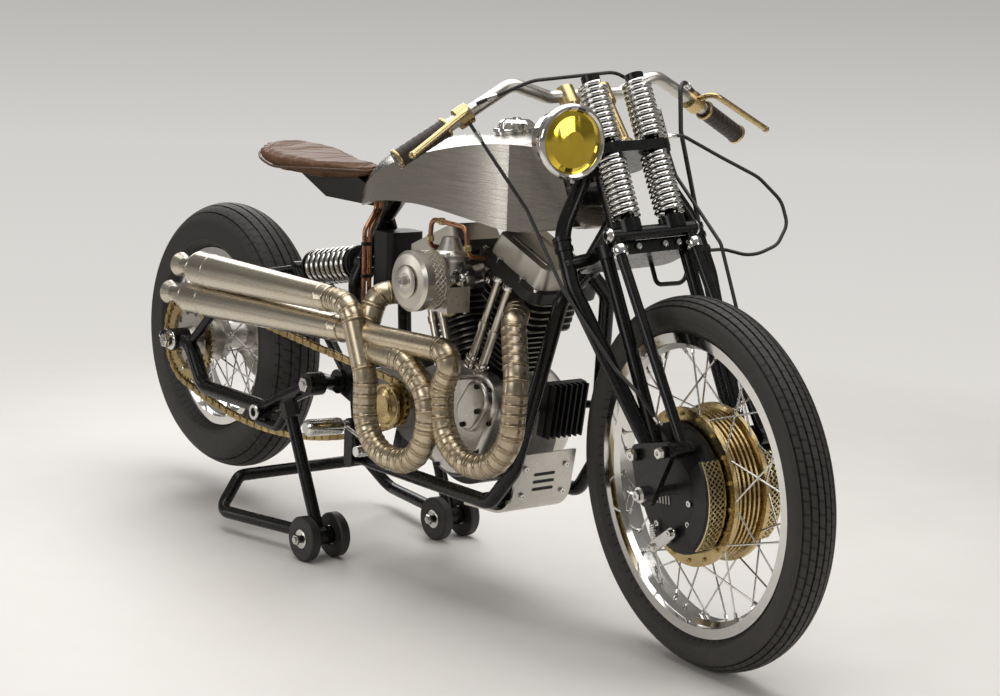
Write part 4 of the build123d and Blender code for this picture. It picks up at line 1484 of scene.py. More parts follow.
@dataclass
class Fork:
    """Coils, bolts and brake of the springer fork, in the fork's own axes in millimetres."""

    spring_n: float = 81.0
    spring_y: float = 50.0
    coil_r: float = 24.5
    wire: float = 4.5
    turns: int = 11
    spans: tuple[Pair, ...] = ((870.3, 997.7), (1018.3, 1143.7))
    axle: Triple = (39.15, 144.0, 367.9)
    rocker_pins: Places = ((48.0, 140.0, 440.0), (134.0, 140.0, 424.0))
    perch_end: Triple = (81.0, 96.0, 846.0)
    spring_leg: Span = ((81.0, 84.0, 846.0), (134.0, 90.0, 424.0))
    collar_share: float = 0.055
    fork_leg: Span = ((8.0, 152.0, 878.0), (12.0, 157.0, 770.0))
    band_share: float = 0.2
    stem_top: float = 1032.0
    hood_r: float = 128.0
    hood_y: Pair = (48.0, 80.0)
    hood_turn: Pair = (-72.0, 10.0)
    mesh_rows: int = 6
    mesh_columns: int = 34
    upper_screws: Places = ((-22, -58, 1018), (-22, 58, 1018), (92, -18, 1018), (92, 18, 1018))
    lower_screws: Places = ((67, -62, 823), (67, -30, 823), (67, 30, 823), (67, 62, 823))
    # First louvre, step to the next one and the way they lean.
    louvres: tuple[Triple, Triple, Triple] = ((-24, 70, 366), (9, 0, -3), (0.35, 0, 1))
    louvre_count: int = 6
    # Foot and direction of the cam levers and of their springs.
    cam_lever: Span = ((18, 76, 292), (-70, 0, -12))
    cam_spring: Span = ((-52, 76, 288), (20, 0, 60))
    plate_bolts: Places = (
        (18, 83, 292), (-52, 83, 280), (96, 78, 330), (66, 70, 296), (-34, 67, 320), (72, 69, 440),
        (4, 62, 452),
    )

    def build(self) -> None:
        """Make every piece of the fork."""
        self.springs()
        self.nuts()
        self.yoke_screws()
        self.leg_collars()
        self.knuckles()
        self.mesh_bands()
        self.brake_plates()

    def springs(self) -> None:
        """Wind the four coils."""
        coils = []
        for y in (-self.spring_y, self.spring_y):
            for low, high in self.spans:
                pitch = (high - low - 2 * self.wire) / self.turns
                coil = Bench.coil(self.coil_r, self.wire, pitch, self.turns)
                foot = FORK.point(self.spring_n, y, low + self.wire)
                coils.append(Bench.move(coil, stand_on(foot, FORK.up, FORK.ahead)))
        Bench.hand_over(Bench.join(coils), "fork_coils", CHROME, Body.STEERING, 60.0, ("fork_springs",))

    def nuts(self) -> None:
        """Set nuts on the rocker pivots, the axle and the stem."""
        places = []
        for side in (-1, 1):
            for pin in (*self.rocker_pins, self.axle):
                places.append(stand_on(FORK.mirrored(pin, side), FORK.left * side, FORK.up))
        Bench.fit(Bench.cap_screw(11, 8, 6), places, "rocker_nuts", CHROME, Body.STEERING)
        stem = Bench.lathe([(0, 14), (9, 14), (16, 9), (21, 8), (21, 0), (0, 0)], 6)
        stem = Bench.move(stem, stand_on(FORK.point(0, 0, self.stem_top), FORK.up, FORK.ahead))
        Bench.hand_over(stem, "stem_nut", CHROME, Body.STEERING, 20.0)

    def yoke_screws(self) -> None:
        """Set screws on top of the upper yoke and along the front of the lower one."""
        places = [stand_on(FORK.point(*place), FORK.up, FORK.ahead) for place in self.upper_screws]
        places += [stand_on(FORK.point(*place), FORK.ahead, FORK.up) for place in self.lower_screws]
        Bench.fit(Bench.cap_screw(6.5, 6), places, "yoke_screws", CHROME, Body.STEERING)

    def leg_collars(self) -> None:
        """Clamp a collar round each fork leg."""
        places = []
        for side in (-1, 1):
            top, foot = (FORK.mirrored(place, side) for place in self.fork_leg)
            places.append(stand_on(top.lerp(foot, self.band_share), foot - top))
        band = Bench.lathe([
            (15.1, -14), (18, -14), (18, -5), (16.2, -4), (16.2, 4), (18, 5), (18, 14), (15.1, 14),
            (15.1, -14),
        ], 32)
        Bench.fit(band, places, "leg_collars", BLACK, Body.STEERING)

    def knuckles(self) -> None:
        """Fit bright caps to the perch ends and collars to the tops of the spring legs."""
        caps = []
        collars = []
        for side in (-1, 1):
            caps.append(stand_on(FORK.mirrored(self.perch_end, side), FORK.left * side, FORK.up))
            top, foot = (FORK.mirrored(place, side) for place in self.spring_leg)
            collars.append(stand_on(top.lerp(foot, self.collar_share), foot - top, FORK.ahead))
        cap = Bench.lathe([(0, 9), (7, 9), (9, 6), (14, 5), (15, 3), (15, 0), (0, 0)], 28)
        collar = Bench.lathe([(10.2, 0), (14, 0), (15, 2), (15, 16), (14, 18), (10.2, 18), (10.2, 0)], 28)
        both = [Bench.stamp(cap, caps), Bench.stamp(collar, collars)]
        Bench.hand_over(Bench.join(both), "spring_leg_knuckles", CHROME, Body.STEERING)

    def hood_point(self, along: float, y: float, lift: float) -> Vector:
        """Find a point on the right-hand air scoop.

        Args:
            along: Share of the way round the scoop.
            y: Distance from the middle of the wheel.
            lift: Height above the scoop.

        Returns:
            The point.
        """
        start, end = self.hood_turn
        angle = radians(start + (end - start) * along)
        radius = self.hood_r + lift
        n, _, s = self.axle
        return FORK.point(n + radius * cos(angle), -y, s + radius * sin(angle))

    def mesh_bands(self) -> None:
        """Weave the diamond mesh over the brake's air scoops."""
        low, high = self.hood_y
        wires = Bench.weave(
            lambda along, across: self.hood_point(along, low + (high - low) * across, 1.0),
            self.mesh_rows, self.mesh_columns, 1.8,
        )
        for y in (low - 1.2, high + 1.2):
            wires.append(Bench.tube([self.hood_point(index / 24, y, 0.6) for index in range(25)], 1.7))
        across = Matrix.Translation(FORK.left * (low + high) * MM)
        places = [Matrix.Identity(4), across]
        Bench.fit(Bench.join(wires), places, "scoop_mesh", MESH_BRASS, Body.STEERING, 40.0)

    def brake_plates(self) -> None:
        """Add louvres, cam levers, bolts and return springs to the backing plates."""
        louvres = []
        levers = []
        heads = []
        first, step, lean = self.louvres
        pivot, along = self.cam_lever
        for side in (-1, 1):
            out = FORK.left * side
            for index in range(self.louvre_count):
                place = Vector(first) + Vector(step) * index
                louvres.append(stand_on(FORK.mirrored(place, side), out, FORK.way(*lean)))
            levers.append(stand_on(FORK.mirrored(pivot, side), out, FORK.way(*along)))
            heads += [stand_on(FORK.mirrored(place, side), out, FORK.up) for place in self.plate_bolts]
        Bench.fit(Bench.block((16, 3.4, 3.0), 1.0), louvres, "plate_louvres", ALUMINIUM, Body.STEERING)
        Bench.fit(Bench.lozenge(71, 11, 6.5, 1.2), levers, "cam_levers", CHROME, Body.STEERING)
        Bench.fit(Bench.cap_screw(7, 6, 6), heads, "plate_bolts", CHROME, Body.STEERING)
        coils = []
        foot, along = self.cam_spring
        for side in (-1, 1):
            place = stand_on(FORK.mirrored(foot, side), FORK.way(*along))
            coils.append(Bench.move(Bench.coil(6, 1.4, 4.2, 8, 6), place))
        Bench.hand_over(Bench.join(coils), "cam_springs", CHROME, Body.STEERING, 60.0)


@dataclass
class Shock:
    """Coil-over unit between the cantilever and the frame, sizes in millimetres."""

    rear: Vector = field(default_factory=lambda: at(322, 0, 588))
    front: Vector = field(default_factory=lambda: at(628, 0, 640))
    coil_r: float = 36.0
    wire: float = 5.6
    turns: int = 8
    low: float = 52.0
    top_gap: float = 84.0

    def build(self) -> None:
        """Turn the damper and wind its coil."""
        along = self.front - self.rear
        length = along.length / MM
        end = length - self.top_gap
        place = stand_on(self.rear, along, UP)
        damper = Bench.lathe([
            (0, 8), (14, 8), (14, 40), (34, 42), (41, 45), (41, self.low), (22, self.low), (22, end),
            (41, end), (41, end + 6), (37, end + 7), (37, end + 12), (27, end + 13), (27, end + 48),
            (24, end + 51), (14, end + 52), (14, length - 8), (0, length - 8),
        ], 40)
        damper = Bench.move(damper, place)
        Bench.hand_over(damper, "shock_damper", SATIN_BLACK, smooth=30.0, replaces=("shock",))
        pitch = (end - self.low - 2 * self.wire) / self.turns
        coil = Bench.coil(self.coil_r, self.wire, pitch, self.turns, 10)
        lift = Matrix.Translation((0, 0, (self.low + self.wire) * MM))
        Bench.hand_over(Bench.move(coil, place @ lift), "shock_coil", CHROME, smooth=60.0)


# Drive and exhaust


@dataclass
class Chain:
    """Roller chain round both sprockets, in millimetres about the rear axle."""

    y: float = -118.0
    rear_r: float = 111.3
    front_r: float = 47.3
    front: Pair = (850.0, -14.0)
    sag: Pair = (420.0, -158.0)
    leave_turn: float = -104.0
    pitch: float = 15.875

    @staticmethod
    def arc(a: Vector, via: Vector, b: Vector, count: int) -> list[Vector]:
        """Step along the circle through three points.

        Args:
            a: First point.
            via: Point on the way.
            b: Last point, which is left out.
            count: Number of steps.

        Returns:
            Points along the arc.
        """
        d = 2 * (a.x * (via.y - b.y) + via.x * (b.y - a.y) + b.x * (a.y - via.y))
        aa, vv, bb = a.length_squared, via.length_squared, b.length_squared
        centre = Vector((
            (aa * (via.y - b.y) + vv * (b.y - a.y) + bb * (a.y - via.y)) / d,
            (aa * (b.x - via.x) + vv * (a.x - b.x) + bb * (via.x - a.x)) / d,
        ))
        radius = (a - centre).length
        start, mid, end = (atan2(p.y - centre.y, p.x - centre.x) for p in (a, via, b))
        full = 2 * pi
        sweep = (end - start) % full
        if (mid - start) % full > sweep:
            sweep -= full
        turns = [start + sweep * index / count for index in range(count)]
        return [centre + Vector((cos(t), sin(t))) * radius for t in turns]

    def path(self) -> list[Vector]:
        """Lay the closed loop round both sprockets.

        Returns:
            Points in the chain's plane.
        """
        far = Vector(self.front)
        base = far.normalized()
        lean = (self.rear_r - self.front_r) / far.length
        rise = sqrt(1 - lean ** 2)
        up = Vector((base.x * lean - base.y * rise, base.y * lean + base.x * rise))
        down = Vector((base.x * lean + base.y * rise, base.y * lean - base.x * rise))
        turn = radians(self.leave_turn)
        leave = Vector((cos(turn), sin(turn))) * self.rear_r
        join = far + down * self.front_r
        top = far + up * self.front_r
        loop = [up * self.rear_r]
        loop += self.arc(top, far + base * self.front_r, join, 40)
        loop += self.arc(join, Vector(self.sag), leave, 60)
        loop += self.arc(leave, base * -self.rear_r, up * self.rear_r, 60)
        loop.append(loop[0].copy())
        return loop

    def build(self) -> None:
        """Model one link of each kind and lay them along the loop."""
        hub = at(0, self.y, REAR_AXLE_HEIGHT)
        loop = [Vector((point.x, 0, point.y)) * MM + hub for point in self.path()]
        length = sum((b - a).length for a, b in zip(loop, loop[1:]))
        count = 2 * round(length / (self.pitch * MM) / 2)
        joints = [FilletPath.sample(loop, length * index / count)[0] for index in range(count)]
        step = length / count / MM
        # Name, offsets of the plates, section of the pin or roller with its sides, node it stands for.
        kinds = (
            ("outer", (5.4, -7.2), ((0, -8), (2.4, -8), (2.4, 8), (0, 8)), 6, ("drive_chain",)),
            ("inner", (3.2, -5.0), ((2, -5), (4.4, -5), (4.4, 5), (2, 5)), 8, ()),
        )
        for first, (label, offsets, section, sides, gives_way) in enumerate(kinds):
            parts = []
            for offset in offsets:
                plate = Bench.lozenge(step, 6.3, 1.8, 0.0, 4)
                parts.append(Bench.move(plate, Matrix.Translation((0, 0, offset * MM))))
            for x in (0.0, step):
                pin = Bench.lathe(section, sides)
                parts.append(Bench.move(pin, Matrix.Translation((x * MM, 0, 0))))
            link = Bench.join(parts)
            places = []
            for index in range(first, count, 2):
                a = joints[index]
                places.append(stand_on(a, RIGHT, joints[(index + 1) % count] - a))
            links = Bench.stamp(link, places)
            Bench.hand_over(links, f"chain_{label}_links", CHAIN_GOLD, smooth=30.0, replaces=gives_way)


@dataclass
class Exhaust:
    """Weld beads of the pie-cut pipes and the seams of the mufflers, in millimetres."""

    pipe_r: float = 25.0
    pitch: float = 22.0
    longest: float = 90.0
    runs: tuple = (
        (((1196, -66, 612), (1262, -130, 600), (1330, -172, 500), (1326, -182, 314), (1112, -186, 314),
          (1110, -186, 452), (1150, -186, 527.32), (762, -186, 520)), (40, 80, 104, 104, 70, 26)),
        (((868, -66, 610), (830, -150, 604), (822, -186, 490), (1000, -198, 492), (1096, -202, 430),
          (1074, -204, 284), (872, -206, 284), (872, -206, 440), (812, -207.8, 584), (742, -208, 584)),
         (36, 60, 80, 78, 94, 94, 80, 54)),
    )
    mufflers: tuple = (((742, -208, 584), (112, -210, 584)), ((762, -186, 520), (20, -186, 506)))

    @staticmethod
    def bead(radius: float, sunk: float, half: float, crown: Profile, steps: int) -> Piece:
        """Turn a weld bead, sunk at its edges, with rise and offset pairs over a pipe's radius."""
        rise = [(radius + lift, offset) for lift, offset in crown]
        return Bench.lathe([(radius - sunk, -half), *rise, (radius - sunk, half)], steps)

    def build(self) -> None:
        """Lay the beads and the seams."""
        places = []
        for points, radii in self.runs:
            path = FilletPath([at(*point) for point in points], [radius * MM for radius in radii])
            for place, ahead in path.marks(self.pitch * MM, self.longest * MM):
                places.append(stand_on(place, ahead))
        halo = self.bead(self.pipe_r, 0.4, 6.5, ((0.22, -5.5), (0.22, 5.5)), 32)
        Bench.fit(halo, places[1:], "weld_halos", HALO, smooth=60.0)
        bead = self.bead(self.pipe_r, 0.6, 1.9, ((0.7, -1.1), (1.1, 0), (0.7, 1.1)), 32)
        Bench.fit(bead, places[1:], "weld_beads", BEAD, smooth=60.0)
        seams = []
        for start, end in self.mufflers:
            a, b = at(*start), at(*end)
            length = (b - a).length / MM
            for distance, radius in ((2, 27.2), (30, 29.2), (length * 0.76, 39.2), (length * 0.86, 39.2)):
                ring = self.bead(radius, 1, 2.4, ((0.6, -1.4), (1.0, 0), (0.6, 1.4)), 40)
                seams.append(Bench.move(ring, stand_on(a.lerp(b, distance / length), b - a)))
        Bench.hand_over(Bench.join(seams), "muffler_seams", BEAD, smooth=60.0)


# Engine


@dataclass
class Engine:
    """Screws, filter and covers of the engine, in millimetres."""

    filter_at: Pair = (1066.0, 664.0)
    filter_r: float = 58.2
    filter_y: Pair = (-193.0, -219.0)
    carburettor_y: float = -140.0
    core_y: float = -176.0
    plate_y: float = -248.0
    # Heights of the carburettor's ring, lid and bowl over the filter's middle, and place of its drum.
    ring_rise: float = 40.0
    lid_rise: float = 51.0
    bowl_rise: float = -66.0
    drum_from: Triple = (27.0, 2.0, 6.0)
    primary_y: float = 138.0
    clutch_from: Pair = (-190.0, 14.0)
    sprocket: Triple = (854.0, -146.0, 368.0)
    # Along, across and out from the crank on each bank.
    box_screws: Places = (
        (-88, -74, 359), (-88, 74, 359), (88, -74, 359), (88, 74, 359), (-40, -74, 359), (40, -74, 359),
    )
    head_bolts: Places = ((-64, -59, 300), (0, -59, 300), (64, -59, 300))
    box_ribs: Places = ((0, -34, 401), (0, 34, 401))
    tubes_along: Pair = (-18.0, 18.0)
    tube_foot: Pair = (-86.0, 128.0)
    tube_top: Pair = (-78.0, 337.7)
    # Offsets from the crank of the screws round the cam cover and on its dome.
    cover_rim: Profile = (
        (128, 92), (132, 24), (92, -44), (40, -86), (-40, -92), (-104, -44), (-104, 24), (-30, 82),
    )
    cover_dome: Profile = ((106, 96), (108, 46), (62, 12))
    rim_y: float = -108.0
    dome_y: float = -122.0

    def build(self) -> None:
        """Make every piece of the engine."""
        self.rocker_screws()
        self.cover_screws()
        self.filter()
        self.carburettor()
        self.primary()
        self.tube_cuffs()

    @staticmethod
    def bank(sign: float) -> tuple[Vector, Vector]:
        """Axis and forward direction of a bank, the front one for sign 1."""
        up = Vector(FRONT_BANK if sign > 0 else REAR_BANK)
        return up, Vector((up.z, 0, -up.x))

    def bank_point(self, sign: float, along: float, y: float, out: float) -> Vector:
        """Point on a bank from millimetres along, across and out from the crank."""
        up, ahead = self.bank(sign)
        return Vector(CRANK) + (ahead * along + LEFT * y + up * out) * MM

    def rocker_screws(self) -> None:
        """Set the rocker boxes' screws, their ribs and the head bolts."""
        tops = []
        sides = []
        ribs = []
        for sign in (1, -1):
            up, ahead = self.bank(sign)
            tops += [stand_on(self.bank_point(sign, *place), up, ahead) for place in self.box_screws]
            sides += [stand_on(self.bank_point(sign, *place), RIGHT, ahead) for place in self.head_bolts]
            ribs += [stand_on(self.bank_point(sign, *place), up, ahead) for place in self.box_ribs]
        Bench.fit(Bench.cap_screw(6.5, 6), tops, "rocker_screws", CHROME)
        Bench.fit(Bench.cap_screw(8, 7, 6), sides, "head_bolts", CHROME)
        Bench.fit(Bench.block((124, 12, 7), 2.5), ribs, "rocker_ribs", NICKEL)

    def cover_screws(self) -> None:
        """Set screws round the cam cover, its dome and the sprocket cover."""
        places = []
        for y, table in ((self.rim_y, self.cover_rim), (self.dome_y, self.cover_dome)):
            for x, z in table:
                places.append(stand_on(at(CRANK_STATION + x, y, CRANK_HEIGHT + z), RIGHT))
        Bench.fit(Bench.cap_screw(5.5, 5), places, "cover_screws", SATIN_BLACK)
        station, y, height = self.sprocket
        studs = [stand_on(at(station + x, y, height + z), RIGHT) for x, z in bolt_circle(8, 29)]
        boss = Bench.lathe([(0, 4), (3, 4), (5, 1), (5, -2), (0, -2)], 12)
        Bench.fit(boss, studs, "sprocket_cover_studs", BRASS)

    def filter_point(self, along: float, across: float) -> Vector:
        """Find a point on the filter's drum.

        Args:
            along: Share of the way round.
            across: Share of the way outwards.

        Returns:
            The point.
        """
        turn = 2 * pi * along
        inner, outer = self.filter_y
        station, z = self.filter_at
        y = inner + (outer - inner) * across
        return at(station + self.filter_r * cos(turn), y, z + self.filter_r * sin(turn))

    def filter(self) -> None:
        """Weave the filter's mesh and fit its end plate and nut."""
        station, z = self.filter_at
        core = Bench.lathe([(57.3, 16), (57.6, 17), (57.6, 43), (57.3, 44)], 48)
        Bench.fit(core, [stand_on(at(station, self.core_y, z), RIGHT)], "filter_core", GAUZE)
        wires = Bench.weave(self.filter_point, 4, 64, 1.15)
        Bench.hand_over(Bench.join(wires), "filter_mesh", PALE_MESH, smooth=40.0)
        place = stand_on(at(station, self.plate_y, z), RIGHT)
        washer = Bench.lathe([(0, 1), (30, 1), (33, 2.5), (30, 4), (16, 4), (14, 6), (0, 6)], 48)
        Bench.fit(washer, [place], "filter_plate", NICKEL)
        lift = Matrix.Translation((0, 0, 0.006))
        Bench.fit(Bench.cap_screw(10, 8, 6), [place @ lift], "filter_nut", CHROME)

    def carburettor(self) -> None:
        """Add the carburettor's flange ring, screws, throttle drum and float bowl drain."""
        station, z = self.filter_at
        y = self.carburettor_y
        ring = Bench.lathe([(30, -3), (38, -3), (39, 0), (39, 8), (37, 11), (30, 11), (30, -3)], 40)
        place = stand_on(at(station, y, z + self.ring_rise), UP)
        Bench.fit(ring, [place], "carburettor_ring", ALUMINIUM)
        lid = bolt_circle(4, 33.5, pi / 4)
        places = [stand_on(at(station + x, y + across, z + self.lid_rise), UP) for x, across in lid]
        bowl = z + self.bowl_rise
        for across in (-22, 22):
            for x in (-24, 24):
                places.append(stand_on(at(station + x, y + across, bowl), -UP))
        Bench.fit(Bench.cap_screw(4, 4), places, "carburettor_screws", CHROME)
        drum = Bench.lathe([
            (0, 16), (7, 16), (8, 12), (18, 11), (18, 8), (15, 7), (15, 4), (18, 3), (18, 0), (0, 0),
        ], 28)
        ahead, left, up = self.drum_from
        place = stand_on(at(station + ahead, y + left, z + up), AHEAD)
        Bench.fit(drum, [place], "throttle_drum", CHROME)
        cap = Bench.lathe([(0, 12), (6, 12), (9, 9), (13, 8), (13, 0), (0, 0)], 6)
        Bench.fit(cap, [stand_on(at(station, y, bowl), -UP)], "bowl_drain", BRASS, smooth=20.0)

    def primary(self) -> None:
        """Fit the clutch cover, the inspection cover and the screws of the left-hand case."""
        ahead, up = self.clutch_from
        place = stand_on(at(CRANK_STATION + ahead, self.primary_y, CRANK_HEIGHT + up), LEFT)
        disc = Bench.lathe([(0, 7), (58, 7), (62, 5), (66, 5), (70, 3), (72, 0), (72, -3), (0, -3)], 56)
        Bench.fit(disc, [place], "clutch_cover", CHROME)
        screws = [place @ Matrix.Translation((x, y, 0.004)) for x, y in bolt_circle(6, 0.064)]
        place = stand_on(at(CRANK_STATION, self.primary_y, CRANK_HEIGHT), LEFT)
        cover = Bench.lathe([(0, 6), (30, 6), (34, 3), (40, 2), (42, 0), (42, -3), (0, -3)], 48)
        Bench.fit(cover, [place], "inspection_cover", NICKEL)
        screws += [place @ Matrix.Translation((x, 0, 0.002)) for x in (0.036, -0.036)]
        Bench.fit(Bench.cap_screw(4.5, 4), screws, "primary_screws", CHROME)

    def tube_cuffs(self) -> None:
        """Fit two cuffs near the foot of each pushrod tube and one near its top."""
        places = []
        for sign in (1, -1):
            for along in self.tubes_along:
                foot = self.bank_point(sign, along, *self.tube_foot)
                top = self.bank_point(sign, along, *self.tube_top)
                length = (top - foot).length / MM
                for rise in (4.0, 21.6, 0.97 * length):
                    places.append(stand_on(foot.lerp(top, rise / length), top - foot))
        cuff = Bench.lathe([(8, -5), (13.6, -5), (14.4, -2), (14.4, 2), (13.6, 5), (8, 5), (8, -5)], 24)
        Bench.fit(cuff, places, "pushrod_cuffs", CHROME)


# Trim


@dataclass
class Cockpit:
    """Rim, grip rings and ferrules of the controls, in the fork's axes in millimetres."""

    lamp: Triple = (117.0, -150.0, 1020.0)
    rake: float = 25.0
    grip: Span = ((-56.0, 300.4, 1124.5), (-97.0, 398.0, 1081.0))
    lever_tip: Triple = (-16.0, 408.0, 1062.0)
    slots: Places = tuple((57.1, 94.0, s) for s in range(1034, 1083, 12))
    slot_screws: Places = ((57, 100, 1026), (57, 100, 1088))
    # Cable end, point that the cable runs towards, and how far along the ferrule sits in metres.
    cable_ends: tuple[tuple[Triple, Triple, float], ...] = (
        ((-13, -250, 1152), (40, -150, 1172), 0.03), ((-34, -262, 1122), (-22, -192, 940), 0.03),
        ((-13, 250, 1152), (30, 196, 1166), 0.03), ((78, -75, 455), (92, -128, 545), 0.04),
        ((78, 75, 455), (96, 112, 540), 0.04), ((50, 113.3, 1040), (52, 148, 1039), 0.008),
        ((40, 100, 1094.3), (42, 100, 1140), 0.008),
    )

    def build(self) -> None:
        """Make every piece of the cockpit."""
        self.lamp_rim()
        self.grips()
        self.ferrules()
        self.splitter()

    def lamp_rim(self) -> None:
        """Roll the lamp's rim and add its clamp screw and the grommet at its tail."""
        turn = radians(self.rake)
        aim = FORK.way(cos(turn), 0, -sin(turn))
        centre = FORK.point(*self.lamp)
        place = stand_on(centre, aim, FORK.up)
        rim = Bench.lathe([
            (60.4, -8), (69, -8), (71, -4), (71, 2), (68.5, 6), (64, 7.5), (60.4, 5), (60.4, -8),
        ], 72)
        Bench.fit(rim, [place], "lamp_rim", CHROME, Body.STEERING, 40.0)
        below = Matrix.Translation((-0.0705, 0, 0)) @ Matrix.Rotation(-pi / 2, 4, "Y")
        Bench.fit(Bench.cap_screw(4, 5), [place @ below], "lamp_screw", CHROME, Body.STEERING)
        grommet = Bench.lathe([(0, 9), (8, 9), (11, 6), (11, 0), (0, 0)], 24)
        Bench.fit(grommet, [stand_on(centre - aim * 0.098, -aim)], "lamp_tail", RUBBER, Body.STEERING)

    def grips(self) -> None:
        """Fit end rings and raised bands to the grips and balls to the lever tips."""
        bands = []
        rings = []
        balls = []
        for side in (-1, 1):
            inner, outer = (FORK.mirrored(place, side) for place in self.grip)
            along = outer - inner
            bands += [stand_on(inner.lerp(outer, 0.08 + 0.12 * index), along) for index in range(8)]
            rings += [stand_on(inner.lerp(outer, share), along) for share in (0.01, 0.975)]
            balls.append(stand_on(FORK.mirrored(self.lever_tip, side), FORK.left * side))
        band = Bench.lathe([(17.9, -4), (18.5, -3.4), (18.5, 3.4), (17.9, 4)], 28)
        Bench.fit(band, bands, "grip_bands", GRIP, Body.STEERING)
        ring = Bench.lathe([(17.6, -3), (20, -3), (20.6, 0), (20, 3), (17.6, 3), (17.6, -3)], 32)
        Bench.fit(ring, rings, "grip_rings", BRASS, Body.STEERING)
        ball = Bench.lathe([(0, -7.5), (4.5, -6), (7, -2.5), (7, 2.5), (4.5, 6), (0, 7.5)], 16)
        Bench.fit(ball, balls, "lever_balls", BRASS, Body.STEERING)

    def ferrules(self) -> None:
        """Set barrel adjusters where the cables enter the levers and the brakes."""
        places = []
        for start, towards, reach in self.cable_ends:
            along = FORK.point(*towards) - FORK.point(*start)
            places.append(stand_on(FORK.point(*start) + along.normalized() * reach, along))
        barrel = Bench.lathe([
            (3.3, -9), (6, -9), (6, -2), (5, -1), (5, 6), (4.2, 12), (3.3, 12), (3.3, -9),
        ], 16)
        Bench.fit(barrel, places, "cable_ferrules", CHROME, Body.STEERING)

    def splitter(self) -> None:
        """Lay thin black plates in the splitter's slots as painted shade and set its screws."""
        slots = [stand_on(FORK.point(*place), FORK.ahead, FORK.left) for place in self.slots]
        heads = [stand_on(FORK.point(*place), FORK.ahead, FORK.up) for place in self.slot_screws]
        # Painted shade: thin black plates stand for the shade inside the open slots.
        slot_shadow_plate = Bench.lozenge(12, 2.0, 0.7, 0.0, 4)
        Bench.fit(slot_shadow_plate, slots, "splitter_slot_shadows", SATIN_BLACK, Body.STEERING)
        Bench.fit(Bench.cap_screw(3.5, 3), heads, "splitter_screws", CHROME, Body.STEERING)


